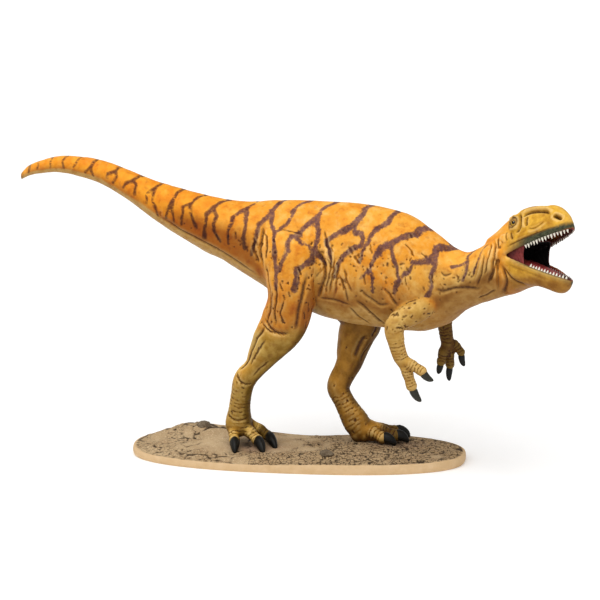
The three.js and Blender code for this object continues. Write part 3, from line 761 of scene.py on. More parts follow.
def body_chart(points):
    """Station x, way down the side in mm, share of the height, side and fullness of each point.
    The station is found by sliding along the level line of the spine until the point lies square to it.
    The way down is the angle from the top, arccos(1 - 2 share), times the mean half size."""
    level = SPINE_FINE[:, :2]
    runs = runs_of(level)
    course = unit(np.gradient(level, axis=0))
    place = np.interp(points[:, 0], level[:, 0], runs)
    for _ in range(4):
        off_x = points[:, 0] - column(runs, place, 0)
        off_y = points[:, 1] - column(runs, place, 1)
        ahead_x = np.interp(place, runs, course[:, 0])
        ahead_y = np.interp(place, runs, course[:, 1])
        place = np.clip(place + off_x * ahead_x + off_y * ahead_y, 0, runs[-1])
    lateral = off_y * ahead_x - off_x * ahead_y
    wide, high = column(runs, place, 3), column(runs, place, 4)
    rise = (points[:, 2] - column(runs, place, 2)) / high
    share = (1 - rise) / 2
    down = np.arccos(np.clip(rise, -1, 1)) * (wide + high) / 2
    full = np.hypot(lateral / (wide * (1 - BACK_TAPER * np.clip(rise, -1, 1))), rise)
    return column(runs, place, 0), down, share, np.sign(lateral), full


skin = relaxed(skin, edges, 6)
station, down, drop, side, full = body_chart(skin)
head = to_head(skin, 0)
on_head = step(head[:, 0], -3, 1) * ((full > 0.2) | (head[:, 0] > 6))
print("head points:", int((on_head > 0.5).sum()))

# %% Marks on the body chart


def on_body(marks):
    """Chart places of marks given as station x and share of the way down."""
    x, share = np.array(marks, float).T
    half = np.interp(x, SPINE_FINE[:, 0], SPINE_FINE[:, 3:5].mean(axis=1))
    return np.stack([x, np.arccos(np.clip(1 - 2 * share, -1, 1)) * half], axis=-1)


def line_distance(places, path):
    """Distance on a chart to a broken line: to each stretch, at its nearest place, and the least of all."""
    least = np.full(len(places), 1e9)
    share = np.zeros(len(places))
    for k, (a, b) in enumerate(zip(path[:-1], path[1:])):
        along = np.clip((places - a) @ (b - a) / max((b - a) @ (b - a), 1e-9), 0, 1)
        apart = np.linalg.norm(places - a - along[:, None] * (b - a), axis=1)
        share = np.where(apart < least, (k + along) / (len(path) - 1), share)
        least = np.minimum(least, apart)
    return least, share


print("half way down the flank at the hip:", np.round(on_body([(14, 0.5)])[0, 1], 1), "mm")

# %% Limb charts


def limb_chart(points, rows, count=160, margin=9):
    """For the points near a limb: their numbers, row number, fullness, angle round it, half thickness.
    Fullness is 1 on the limb's own surface. The angle is 0 on the left, 90 degrees in front."""
    stations = between(rows, row_numbers(rows, count))
    _, across, above = directions(stations[:, :3], False)
    low, high = stations[:, :3].min(0) - margin, stations[:, :3].max(0) + margin
    near = np.flatnonzero(np.all((points > low) & (points < high), axis=1))
    p = points[near]
    apart = (p**2).sum(1)[:, None] - 2 * p @ stations[:, :3].T + (stations[:, :3] ** 2).sum(1)
    best = apart.argmin(axis=1)
    off = p - stations[best, :3]
    u = (off * across[best]).sum(1) / stations[best, 3]
    v = (off * above[best]).sum(1) / stations[best, -1]
    row = best * (len(rows) - 1) / (count - 1)
    return near, row, np.hypot(u, v), np.arctan2(v, u), stations[best, 3:].mean(axis=1)


def limb_runs(rows, row):
    """Length along a limb, in millimetres, at a row number."""
    numbers = row_numbers(rows, 400)
    return np.interp(row, numbers, runs_of(between(rows, numbers)[:, :3]))


JOINT_ROWS = {"right": [0.5, 4.2, 6.9, 11], "left": [0.3, 3.2, 5.8, 9]}  # hip, knee, ankle, toe roots
leg_charts = {name: limb_chart(skin, rows) for name, rows in LEGS.items()}
arm_charts = {name: limb_chart(skin, rows) for name, rows in ARMS.items()}
toe_charts = {name: limb_chart(skin, digit_rows(rows), 60) for name, rows in TOES.items()}
finger_charts = {name: limb_chart(skin, digit_rows(rows), 60) for name, rows in FINGERS.items()}
print("points near the legs:", [len(chart[0]) for chart in leg_charts.values()])

# %% Which limb a point belongs to
leg_share = np.zeros(len(skin))
arm_share = np.zeros(len(skin))
joined = np.zeros(len(skin))
for share_of, charts in ((leg_share, [leg_charts, toe_charts]), (arm_share, [arm_charts, finger_charts])):
    for chart in charts:
        for near, _, fullness, _, _ in chart.values():
            mine = step(full[near] - fullness, -0.12, 0.12) * step(1.9 - fullness, 0, 0.3)
            share_of[near] = np.maximum(share_of[near], mine)
            meets = bell(full[near] - fullness, 0.3) * (fullness < 1.7) * (full[near] < 1.7)
            joined[near] = np.maximum(joined[near], meets)
skin = skin + joined[:, None] * (relaxed(skin, edges, 30) - skin)
print("leg points:", int((leg_share > 0.5).sum()), "arm points:", int((arm_share > 0.5).sum()))

# %% [markdown]
# ## Folds, muscles and scales
# A sculptor presses a tool along a line: the clay sinks under it and a dark wash later settles there.
# Here a tool stroke is a broken line on a chart, a width and a depth; a negative depth is a groove and a
# positive one a ridge. Points move along their own normal, by all the strokes added together.

# %% The carving tool
lift = np.zeros(len(skin))
ink = np.zeros(len(skin))
everyone = np.arange(len(skin))


def curve(marks):
    """A smooth line through a few marks on a chart."""
    marks = np.asarray(marks, float)
    return between(marks, row_numbers(marks, 6 * len(marks)))


def carve(numbers, places, path, width, depth, wash=0.9):
    """Moves points by depth exp(-(d/width)^2), fading at both ends of the path, and inks a groove."""
    low, high = path.min(0) - 3 * width, path.max(0) + 3 * width
    near = np.all((places > low) & (places < high), axis=1)
    apart, share = line_distance(places[near], path)
    ends = step(share, -0.03, 0.2) * step(1 - share, -0.03, 0.2)
    chosen = numbers[near]
    lift[chosen] += depth * bell(apart, width) * ends
    if depth < 0:
        dark = wash * bell(apart, 0.75 * width) * ends
        ink[chosen] = np.maximum(ink[chosen], dark)


wobble = np.stack([noise(skin, 5, 11), noise(skin, 5, 12)], axis=-1)
wobble += 0.5 * np.stack([noise(skin, 2.1, 13), noise(skin, 2.1, 14)], axis=-1)
body_places = np.stack([station, down], axis=-1) + 0.5 * wobble
print("carving", len(skin), "points")

# %% Folds of the hips
# Width, depth and marks: station x and share of the way down. The hip folds move with each thigh.
HIP_FOLDS = [
    (0.9, -1.3, [(11.5, 0.34), (13.6, 0.44), (14.2, 0.57), (12.5, 0.70), (10.5, 0.80)]),
    (0.6, -0.8, [(14.5, 0.26), (16.4, 0.37), (16.8, 0.48), (15.5, 0.60), (14.5, 0.74)]),
    (0.5, -0.7, [(18.6, 0.38), (18.4, 0.49), (17.2, 0.60), (16.4, 0.72)]),
    (0.5, -0.6, [(21, 0.42), (20.6, 0.52), (19.3, 0.63), (18.6, 0.73)]),
    (0.5, -0.5, [(20.6, 0.53), (23.2, 0.66), (24.6, 0.77)]),
    (0.5, -0.5, [(23, 0.47), (24, 0.58), (26.5, 0.68)]),
    (0.4, -0.4, [(22, 0.57), (22.4, 0.68)]),
    (0.45, -0.45, [(13.2, 0.20), (15, 0.28), (15.3, 0.35)]),
    (1.5, 0.7, [(14.0, 0.34), (15.5, 0.45), (15.6, 0.58), (14, 0.70)]),
    (1.0, 0.4, [(17.6, 0.32), (17.8, 0.45), (16.6, 0.62)]),
    (0.8, -1.0, [(-13, 0.22), (-12.6, 0.38), (-13, 0.52), (-12, 0.70)]),
    (0.6, -0.8, [(-16.5, 0.42), (-15.5, 0.55), (-14.5, 0.68)]),
    (0.45, -0.5, [(-10.6, 0.30), (-9.8, 0.44), (-10.2, 0.56)]),
    (1.3, 0.6, [(-11, 0.25), (-11.2, 0.40), (-11.4, 0.55), (-10.6, 0.72)]),
    (0.6, -0.5, [(11, 0.79), (18, 0.77), (26, 0.79)]),
]
print("hip folds:", len(HIP_FOLDS))

# %% Folds of the trunk
# The same columns, for folds that keep their place.
TRUNK_FOLDS = [
    (0.45, -0.5, [(-24.5, 0.36), (-23.5, 0.47)]),
    (0.45, -0.4, [(-19.5, 0.50), (-18.5, 0.58)]),
    (0.45, -0.4, [(-33, 0.50), (-32, 0.60)]),
    (0.8, -0.7, [(27, 0.72), (32, 0.80), (37, 0.88), (41, 0.95)]),
    (0.6, -0.4, [(24, 0.80), (29, 0.90), (34, 0.96)]),
    (0.7, -0.5, [(29, 0.62), (34, 0.70), (39, 0.74), (43, 0.72)]),
    (0.8, -0.7, [(42, 0.60), (44.5, 0.68), (47, 0.74)]),
    (0.4, -0.5, [(49, 0.21), (52, 0.22), (55, 0.26)]),
    (0.4, -0.4, [(57, 0.20), (59.5, 0.22)]),
    (0.45, -0.5, [(47, 0.38), (49.5, 0.35)]),
    (0.45, -0.5, [(27, 0.36), (29, 0.44)]),
    (0.45, -0.5, [(31, 0.50), (32, 0.60)]),
    (0.45, -0.4, [(24, 0.30), (26.5, 0.36)]),
    (5.0, 0.9, [(49, 0.45), (52, 0.55), (56, 0.66)]),
    (0.55, -0.9, [(87.6, 0.03), (89.4, 0.22), (89.6, 0.42), (88.4, 0.60), (87.4, 0.70)]),
    (0.45, -0.6, [(86.2, 0.04), (87.4, 0.20), (87.0, 0.40), (85.8, 0.54)]),
    (1.1, 0.5, [(87.0, 0.12), (88.3, 0.34), (87.4, 0.56)]),
    (0.5, -0.5, [(84.4, 0.16), (84.8, 0.32), (84.5, 0.49), (82.1, 0.64)]),
    (0.9, 0.4, [(83.2, 0.20), (83.4, 0.40), (81.4, 0.58)]),
    (0.4, -0.35, [(81.6, 0.22), (81.4, 0.34), (80.6, 0.46)]),
    (0.65, -0.6, [(64, 0.50), (68, 0.51), (74, 0.54), (80, 0.63), (85.5, 0.71)]),
    (1.6, 0.5, [(72, 0.62), (79, 0.71), (85, 0.78)]),
    (0.6, -0.6, [(82, 0.88), (86.7, 0.86), (90.4, 0.83)]),
    (0.4, -0.4, [(66, 0.28), (69, 0.30), (72, 0.28)]),
    (0.7, -0.7, [(-62, 0.70), (-48, 0.73), (-36, 0.76), (-24, 0.80), (-14, 0.84)]),
    (1.2, 0.4, [(-60, 0.64), (-46, 0.67), (-34, 0.70), (-22, 0.73)]),
]
print("trunk folds:", len(TRUNK_FOLDS))

# %% Carve the body
HIP_SHIFT = {-1: 0, 1: 15}  # the left thigh swings forward
for way, shift in HIP_SHIFT.items():
    numbers = everyone[(side == way) & (on_head < 0.9) & (arm_share < 0.6)]
    for width, depth, marks in HIP_FOLDS:
        path = curve(on_body(np.array(marks) + (shift, 0)))
        carve(numbers, body_places[numbers], path, width, depth)
    for width, depth, marks in TRUNK_FOLDS:
        carve(numbers, body_places[numbers], curve(on_body(marks)), width, depth)
print("deepest body fold", round(lift.min(), 2), "mm")

# %% Folds of the legs
# Marks: 0 to 1 from hip to knee, 1 to 2 from knee to ankle, 2 to 3 down to the toes, then the angle in
# degrees from the outer side, positive to the front.
LEG_FOLDS = [
    (0.7, -0.9, [(0.25, -55), (0.5, -58), (0.8, -52), (1.02, -38)]),
    (0.5, -0.6, [(0.45, -33), (0.75, -32), (0.98, -14)]),
    (0.4, -0.5, [(0.62, -14), (0.8, -12), (0.92, -2)]),
    (0.4, -0.4, [(0.55, -44), (0.7, -46), (0.86, -40)]),
    (1.2, 0.6, [(0.3, -46), (0.6, -45), (0.95, -28)]),
    (1.0, -0.4, [(0.35, 35), (0.7, 28), (0.95, 36)]),
    (0.7, -0.7, [(0.97, -55), (1.06, -15), (0.99, 28)]),
    (0.45, -0.5, [(1.10, -62), (1.12, -28), (1.05, 0)]),
    (0.7, -0.7, [(1.08, -42), (1.35, -50), (1.7, -58), (1.93, -70)]),
    (1.6, 0.6, [(1.1, -66), (1.4, -75), (1.7, -85)]),
    (0.45, -0.35, [(1.25, -16), (1.5, -26), (1.66, -30)]),
    (0.45, -0.4, [(1.45, 30), (1.62, 22), (1.8, 26)]),
    (0.6, -0.45, [(1.96, -70), (2.02, -10), (1.95, 50)]),
    (0.5, -0.45, [(2.55, -80), (2.6, 0), (2.56, 70)]),
    (0.6, -0.5, [(2.2, -95), (2.5, -98), (2.8, -95)]),
    (0.7, -0.45, [(0.7, 112), (0.95, 124), (1.2, 128)]),
    (0.9, -0.5, [(1.18, 152), (1.4, 160), (1.58, 158)]),
    (0.45, -0.4, [(1.3, 118), (1.5, 126), (1.62, 124)]),
]
print("leg folds:", len(LEG_FOLDS))

# %% Carve the legs


def leg_places(name):
    """Chart of one leg: length along it and the way round it from its outer side, in millimetres."""
    near, row, fullness, angle, half = leg_charts[name]
    outer = np.pi - angle if name == "right" else angle
    outer = (outer + np.pi) % (2 * np.pi) - np.pi
    return near, np.stack([limb_runs(LEGS[name], row), outer * half], axis=-1), fullness


def on_leg(name, marks):
    """Chart places of marks given as joint shares and degrees."""
    share, degrees = np.array(marks, float).T
    row = np.interp(share, [0, 1, 2, 3], JOINT_ROWS[name])
    half = between(LEGS[name], row)[:, 3:].mean(axis=1)
    return np.stack([limb_runs(LEGS[name], row), np.radians(degrees) * half], axis=-1)


for name in LEGS:
    near, places, fullness = leg_places(name)
    mine = (leg_share[near] > 0.4) & (fullness < 1.6)
    for width, depth, marks in LEG_FOLDS:
        path = curve(on_leg(name, marks))
        carve(near[mine], places[mine] + 0.5 * wobble[near[mine]], path, width, depth, 0.8)
print("ink on", int((ink > 0.3).sum()), "points")

# %% Ring scales on feet, hands and arms


def ring_scales(near, length, spacing, depth, mask, seed):
    """Bands across a limb: grooves where the length, bent by noise, passes a multiple of spacing."""
    bent = length + 0.7 * noise(skin[near], 3, seed) + 0.3 * noise(skin[near], 1.3, seed + 1)
    wave = np.abs(np.sin(np.pi * bent / spacing))
    broken = step(noise(skin[near], 2.6, seed + 2), -0.8, 0.0)
    groove = (1 - step(wave, 0.0, 0.55)) * mask * broken
    lift[near] -= depth * groove
    ink[near] = np.maximum(ink[near], 1.8 * depth * groove)


for name in LEGS:
    near, places, fullness = leg_places(name)
    row = leg_charts[name][1]
    joints = JOINT_ROWS[name]
    low = np.interp([2.0, 2.2, 2.8, 3.0], [0, 1, 2, 3], joints)
    mask = step(row, low[0], low[1]) * (1 - step(row, low[2], low[3])) * leg_share[near]
    mask = mask * step(noise(skin[near], 6, 31), -0.7, 0.1) * (fullness < 1.4)
    ring_scales(near, places[:, 0], 1.9, 0.24, mask, 32)
for seed, (charts, table) in enumerate(((toe_charts, TOES), (finger_charts, FINGERS))):
    for name, (near, row, fullness, _, _) in charts.items():
        rows = digit_rows(table[name])
        mask = step(1.25 - fullness, 0, 0.2) * step(row, 6, 12) * (1 - step(row, 28, 31))
        ring_scales(near, limb_runs(rows, row), 1.5 - 0.1 * seed, 0.34, mask, 40 + seed)
for name, (near, row, fullness, angle, _) in arm_charts.items():
    mask = step(row, 2.2, 3.2) * step(1.3 - fullness, 0, 0.2) * arm_share[near]
    ring_scales(near, limb_runs(ARMS[name], row), 1.5, 0.3, mask, 45)
    creases = step(row, 1.5, 1.8) * (1 - step(row, 2.2, 2.6)) * arm_share[near]
    ring_scales(near, limb_runs(ARMS[name], row), 2.2, 0.25, creases * step(np.sin(angle), -0.2, 0.6), 47)
print("scaled points", int((ink > 0.5).sum()))

# %% Small tool marks
# The middle of a group of marks and its spread: station x and share of the way down, then how many.
MARKED = [
    ((49, 0.47), (6, 0.13), 26),
    ((38, 0.55), (7, 0.13), 18),
    ((24, 0.50), (6, 0.14), 14),
    ((18, 0.45), (6, 0.14), 18),
    ((-15, 0.48), (6, 0.12), 14),
    ((-34, 0.52), (9, 0.08), 6),
    ((66, 0.45), (6, 0.14), 14),
    ((78, 0.42), (3.5, 0.09), 14),
    ((6, 0.62), (8, 0.12), 12),
    ((32, 0.38), (5, 0.09), 20),
    ((56, 0.34), (5, 0.08), 10),
]
STREAKED = [((14, 0.46), (3.6, 0.07), 14), ((-15, 0.42), (3, 0.07), 9), ((33, 0.36), (3, 0.05), 6)]


def nicks(numbers, places, middles, slant, seed, longest=2):
    """Short cuts about the given places on a chart: length, slant and depth drawn from a seeded dice."""
    dice = np.random.default_rng(seed)
    for middle in middles:
        long = 0.3 + longest * dice.uniform(0, 1) ** 2
        lean = unit(np.array([dice.normal(slant, 0.7), 1])) * long / 2
        path = np.array([middle - lean, middle + 0.2 * dice.normal(0, 1, 2), middle + lean])
        carve(numbers, places, path, dice.uniform(0.3, 0.6), -dice.uniform(0.2, 0.5), dice.uniform(0.6, 1))


def scattered(dice, count, low, high):
    """Places drawn evenly between two corners of a chart."""
    return np.stack([dice.uniform(low[k], high[k], count) for k in (0, 1)], axis=-1)


print("tool marks on each flank:", sum(count for _, _, count in MARKED + STREAKED))

# %% Tool marks on the body
for way in (-1, 1):
    dice = np.random.default_rng(20 + way)
    numbers = everyone[(side == way) & (on_head < 0.3) & (arm_share < 0.6) & (station > -60)]
    for middle, spread, count in MARKED:
        marks = np.clip(dice.normal(middle, spread, (count, 2)), (-60, 0.12), (80, 0.85))
        nicks(numbers, body_places[numbers], on_body(marks), 0.25, count + way)
    for middle, spread, count in STREAKED:
        marks = np.clip(dice.normal(middle, spread, (count, 2)), (-60, 0.2), (80, 0.7))
        nicks(numbers, body_places[numbers], on_body(marks), 0.1, 60 + count + way, 6)
print("ink on", int((ink > 0.3).sum()), "points, limbs not yet marked")

# %% Tool marks on the limbs
for name in LEGS:
    near, places, fullness = leg_places(name)
    mine = (leg_share[near] > 0.5) & (fullness < 1.6)
    dice = np.random.default_rng(31)
    marks = scattered(dice, 50, (0.35, -175), (2.9, 175))
    nicks(near[mine], places[mine], on_leg(name, marks), 1.2, 33)
    marks = scattered(dice, 26, (0.3, -70), (1.0, 80))
    nicks(near[mine], places[mine], on_leg(name, marks), 3, 35, 4.5)
for name, (near, row, _, angle, half) in arm_charts.items():
    mine = arm_share[near] > 0.5
    places = np.stack([limb_runs(ARMS[name], row), angle * half], axis=-1)
    dice = np.random.default_rng(41)
    nicks(near[mine], places[mine], scattered(dice, 110, (2, -16), (26, 16)), 0.8, 43, 3)
print("ink on", int((ink > 0.3).sum()), "points")

# %% [markdown]
# ## The face
# The face has a bony ridge over a large hollow, a thick-lidded eye with a groove in front of it, a slit
# nostril and a rolled lip. They are strokes in each jaw's own side view: forward of the hinge, and up.

# %% Folds of the face
# Width, depth and marks: forward of the hinge, and up.
SKULL_FOLDS = [
    (0.9, 0.8, [(14.4, 13.0), (16.6, 13.8), (20, 13.6), (23.8, 12.8), (27.2, 11.3), (29.8, 9.2), (31, 7.9)]),
    (0.5, -1.1, [(15.6, 11.0), (17.2, 12.3), (20.3, 12.5), (24, 11.7), (27.2, 10.2), (29.4, 8.0)]),
    (0.5, -1.0, [(17.7, 11.6), (17.3, 9.3), (17.7, 6.6)]),
    (0.8, 0.6, [(15.7, 11.8), (16.1, 9.3), (16.5, 6.2)]),
    (0.75, -1.5, [(12.4, 14.8), (13.7, 12.8), (14.5, 10.7), (14.4, 8.6), (13.2, 6.6), (11.4, 6)]),
    (0.8, 0.35, [(17.4, 4.4), (20.5, 3.2), (24.5, 3.4), (28, 5.2)]),
    (0.4, -0.3, [(18.0, 5.8), (20.6, 4.5), (23.6, 4.6), (26.6, 6.0)]),
    (0.6, -1.9, [(30.4, 7.1), (32.2, 5.7), (33.9, 4.0)]),
    (1.0, -0.5, [(30.8, 6.9), (32.2, 5.7), (33.4, 4.5)]),
    (0.6, 0.35, [(30.7, 8.1), (32.9, 6.7), (34.6, 4.6)]),
    (0.6, 0.2, [(30.0, 5.6), (31.2, 4.4), (32.6, 3.2)]),
    (1.2, 1.1, [(7.2, 12.8), (9.6, 13.7), (12.0, 13.0)]),
    (0.7, 0.5, [(8.8, 8.8), (10.8, 7.8), (13, 8.2)]),
    (0.45, -0.6, [(7.7, 12.4), (7.5, 10.6), (8.6, 8.4)]),
    (0.5, -0.6, [(9.0, 7.3), (9.2, 5.2), (9.6, 3.4)]),
    (0.45, -0.4, [(6.8, 8.2), (6.3, 5.8), (6.8, 3.8)]),
    (2.4, 0.6, [(3.4, 5), (4.8, 6.4), (5.2, 8)]),
    (0.6, -0.7, [(1.5, 7.8), (1.9, 4.6), (2.2, 1.6)]),
    (0.45, -0.4, [(5, 1.6), (13, 1.8), (22, 1.8), (31, 1.9)]),
]
JAW_FOLDS = [
    (0.6, -0.7, [(4.2, -3.6), (8.4, -6.2), (12.2, -7.7), (16, -7.8)]),
    (1.0, -1.0, [(2.4, -2.6), (5.6, -6.4), (6.8, -9.6), (5.6, -13), (2.6, -16.6)]),
    (0.5, -0.7, [(0.8, -0.6), (1.6, -3.6), (1.3, -8.6), (0, -11.8)]),
    (0.7, -0.2, [(5, -1.7), (13, -2.0), (22, -2.0), (31, -2.1)]),
    (1.8, 0.5, [(8, -5.5), (14, -6), (20, -5)]),
]
print("face folds:", len(SKULL_FOLDS), "above and", len(JAW_FOLDS), "below")

# %% Carve the face
EYE = np.array([10.7, 5.9, 10.6])  # forward, out, up
HOLLOW_AT, HOLLOW_HALF, HOLLOW_TILT = (22.8, 8.3), (6.4, 4.0), 0.15  # in front of the eye
upper = to_head(skin, SKULL_OPEN)
lower = to_head(skin, JAW_OPEN)
for local, marks_of, way in ((upper, SKULL_FOLDS, 1), (lower, JAW_FOLDS, -1)):
    outside = np.abs(local[:, 1]) > 1.6
    numbers = everyone[(head[:, 0] > -3.5) & (way * head[:, 2] > -0.4) & outside & (on_head > 0)]
    places = local[numbers][:, [0, 2]] + 0.12 * wobble[numbers]
    for width, depth, marks in marks_of:
        carve(numbers, places, curve(marks), width, depth, min(1, -2.2 * depth))
ahead = upper[:, 0] - HOLLOW_AT[0]
tilted = upper[:, 2] - HOLLOW_AT[1] + HOLLOW_TILT * ahead
hollow = np.abs(ahead / HOLLOW_HALF[0]) ** 2.5 + np.abs(tilted / HOLLOW_HALF[1]) ** 2.5
facing = step(np.abs(upper[:, 1]), 2.5, 4) * (head[:, 2] > 0) * (on_head > 0.5)
lift -= (1 - step(hollow, 0.3, 1.3)) * step(tilted, -5, 3) * facing
eye_gap = np.linalg.norm((upper - EYE * [1, 0, 1])[:, [0, 2]], axis=1)
lift += (0.55 * np.exp(-((eye_gap - 2.6) ** 2) / 0.5) - 1.2 * (1 - step(eye_gap, 1.1, 1.9))) * facing
ink = np.maximum(ink, 0.9 * bell(eye_gap - 2.0, 0.7) * facing)
print("face carved")

# %% Muscle and skin grain
MOUTH_LENGTH, MOUTH_HALF = 36, 8.6  # between those of skull and jaw
lift += 0.28 * (1 - on_head) * rough(skin, 13, 51, 2)
lift += (0.10 - 0.04 * on_head) * rough(skin * [1, 1, 0.55], 3.2, 61)
normals = normals_of(skin, quads)
way = np.where(head[:, 2] > 0, 1, -1)
mouth_side = np.where(way > 0, upper[:, 2] - lip_line(upper[:, 0]), -lip_line(lower[:, 0]) - lower[:, 2])
half_here = jaw_half(MOUTH_HALF, MOUTH_LENGTH, head[:, 0])
head_normals = normals @ head_turn(0)
inward = -way * head_normals[:, 2] - np.sign(head[:, 1]) * head_normals[:, 1]
inside_mouth = on_head * step(head[:, 0], 1.5, 3) * step(half_here - np.abs(head[:, 1]), 0.9, 1.5)
inside_mouth = inside_mouth * (1 - step(mouth_side, 2.6, 3.4)) * step(inward, -0.2, 0.3)
skin = skin + normals * (lift * (1 - inside_mouth))[:, None]
skin = relaxed(skin, edges, 1, 0.3)
print("lift from", round(lift.min(), 2), "to", round(lift.max(), 2), "mm")

# %% [markdown]
# ## The painted stripes
# A painter lays each stripe with a few brush strokes: down from the middle of the back, then most of them
# fork towards the belly. A stroke is a broken line on the body chart and a half width. The skin keeps the
# distance to the nearest stroke's edge, below zero inside it, so the paint can cut a clean edge anywhere.

# %% Brush strokes
# Half width in millimetres, then marks: station x and share of the way down the side.
STROKES = [
    (0.60, [(-121.5, 0), (-121, 0.65)]),
    (0.65, [(-117, 0), (-117, 0.60)]),
    (0.65, [(-110.5, 0), (-111, 0.24), (-111, 0.62)]),
    (0.65, [(-103.5, 0), (-104.5, 0.29), (-104, 0.60)]),
    (0.65, [(-96.5, 0), (-98, 0.27), (-99, 0.48)]),
    (0.75, [(-89.5, 0), (-91, 0.27), (-94, 0.60)]),
    (0.70, [(-91, 0.27), (-91, 0.42), (-90, 0.66)]),
    (0.70, [(-78.5, 0), (-80, 0.12), (-84, 0.40), (-84, 0.57)]),
    (0.70, [(-80, 0.12), (-79, 0.26), (-81, 0.58)]),
    (0.75, [(-68, 0), (-71, 0.10), (-72, 0.20), (-75, 0.34), (-76, 0.56)]),
    (0.75, [(-72, 0.18), (-70, 0.27), (-71, 0.54)]),
    (0.75, [(-60.5, 0), (-62, 0.14), (-65, 0.34), (-65, 0.58)]),
    (0.75, [(-62, 0.18), (-62, 0.38), (-60, 0.68)]),
    (0.95, [(-50, 0), (-52, 0.07), (-53, 0.21), (-55, 0.45), (-56, 0.66)]),
    (0.80, [(-53, 0.22), (-53, 0.38), (-52, 0.62)]),
    (0.80, [(-40.5, 0), (-44, 0.15), (-48, 0.27), (-48, 0.58)]),
    (0.80, [(-45, 0.17), (-44, 0.32), (-42, 0.56)]),
    (1.00, [(-29, 0), (-33, 0.04), (-35, 0.12), (-38, 0.26), (-38, 0.57), (-38, 0.67)]),
    (0.90, [(-35, 0.12), (-33, 0.20), (-34, 0.46), (-31, 0.60)]),
    (0.90, [(-16.5, 0), (-21, 0.06), (-26, 0.18), (-28, 0.39), (-27, 0.58)]),
    (1.00, [(-21, 0.07), (-21, 0.16), (-20, 0.29), (-21, 0.42), (-20, 0.54)]),
    (1.10, [(-4, 0), (-8, 0.04), (-11, 0.14), (-15, 0.23), (-15, 0.35), (-16, 0.48), (-17, 0.60)]),
    (1.10, [(-10, 0.08), (-9, 0.20), (-7, 0.26), (-7, 0.32), (-6, 0.46), (-5, 0.66), (-5, 0.80)]),
    (0.95, [(7, 0), (3, 0.02), (0, 0.06), (-0.5, 0.11), (-2, 0.17), (-5, 0.23), (-7, 0.26)]),
    (1.20, [(19, 0), (15, 0.02), (12, 0.05), (10, 0.11), (6, 0.18), (4, 0.24), (0, 0.28)]),
    (1.05, [(0, 0.28), (-1, 0.34), (-1, 0.40), (-2, 0.48), (-5, 0.66)]),
    (1.10, [(10, 0.12), (10, 0.17), (11, 0.26), (10, 0.34), (12, 0.40), (14, 0.46)]),
    (0.60, [(2, 0.27), (6, 0.31), (9, 0.36)]),
    (1.25, [(10, 0.35), (9, 0.46), (7, 0.47), (3, 0.56), (3, 0.66), (3, 0.75)]),
    (1.30, [(33, 0), (30, 0.03), (28, 0.09), (26, 0.14), (22, 0.20), (17, 0.25), (15, 0.28)]),
    (1.10, [(15, 0.28), (16, 0.34), (17, 0.44)]),
    (0.90, [(26, 0.14), (26, 0.20), (29, 0.20)]),
    (1.10, [(29, 0.19), (30, 0.23), (29, 0.29), (25, 0.33), (22, 0.38), (20, 0.47), (19, 0.57)]),
    (1.30, [(45, 0), (43, 0.02), (41, 0.08), (37, 0.15), (34, 0.21), (32, 0.27)]),
    (0.80, [(32, 0.27), (30, 0.36), (29, 0.42)]),
    (1.30, [(58, 0), (55, 0.03), (54, 0.09), (47, 0.19), (43, 0.24), (39, 0.28)]),
    (1.05, [(39, 0.28), (37, 0.35), (34, 0.47), (35, 0.53), (36, 0.63)]),
    (1.05, [(44, 0.24), (44, 0.33), (46, 0.42), (47, 0.49), (45, 0.62)]),
    (0.80, [(34, 0.46), (29, 0.55)]),
    (1.60, [(69, 0), (65, 0.04), (63, 0.09), (63, 0.18)]),
    (0.95, [(63, 0.18), (59, 0.26), (54, 0.32), (53, 0.39), (49, 0.45)]),
    (1.05, [(63, 0.18), (63, 0.25), (62, 0.38), (63, 0.46), (62, 0.56), (58, 0.65)]),
    (0.85, [(79, 0), (77, 0.06), (77, 0.18), (77, 0.37), (76, 0.47)]),
    (0.70, [(77, 0.14), (71, 0.21)]),
    (0.60, [(84, 0.05), (82, 0.21), (81, 0.42)]),
]
print("brush strokes:", len(STROKES))

# %% Distance to the stripes


def stripe_field():
    """For each point the least of distance to a stroke less its half width, thinner towards its end."""
    field = np.full(len(skin), 3.0)
    places = np.stack([station, down], axis=-1) + 0.75 * wobble
    bare = (on_head < 0.4) & (arm_share < 0.5)
    for way in (-1, 1):
        numbers = everyone[(side == way) & bare]
        for half, marks in STROKES:
            path = on_body(marks)
            low, high = path.min(0) - 6, path.max(0) + 6
            near = numbers[np.all((places[numbers] > low) & (places[numbers] < high), axis=1)]
            apart, share = line_distance(places[near], path)
            field[near] = np.minimum(field[near], apart - half * (1 - 0.2 * share))
    return field


stripe = stripe_field()
print("striped points", int((stripe < 0).sum()))

# %% [markdown]
# ## Where each paint goes
# Every zone is a share from 0 to 1 for each point of the skin, with an edge made ragged by noise.
# The skin also carries painted shade, as if the light came from above: a brown shade lies on all that faces
# down, on the inner sides of the limbs and on other places in shade, and a thin dark wash was wiped over
# it that stays in the folds.

# %% Zones of body and limbs
BELLY_EDGE = 0.76  # as a share of the way down the side
KNEE_HEIGHT = 67
MIDDLE_Y = 3.6  # the plane between the left limbs and the right ones
normals = normals_of(skin, quads)
broad_normals = relaxed(normals, edges, 12)
ragged = rough(skin, 7, 81)
trunk = (1 - leg_share) * (1 - arm_share) * (1 - on_head)
tail = 1 - step(station, -50, 5)
neck = step(station, 52, 72)
belly_edge = BELLY_EDGE - 0.12 * tail - 0.14 * neck
under = step(drop + 0.05 * ragged, belly_edge, belly_edge + 0.13) * trunk
throat = step(-head[:, 2] - 2 * np.abs(ragged), 6, 12) * on_head
pale = np.maximum(under * (1 - 0.55 * neck), 0.25 * throat)
below_knee = step(KNEE_HEIGHT - skin[:, 2] + 3 * ragged, 0, 11) * leg_share
arm_paint = np.zeros(len(skin))
for near, row, _, _, _ in arm_charts.values():
    arm_paint[near] = step(row + 0.3 * ragged[near], 0.1, 1.1)
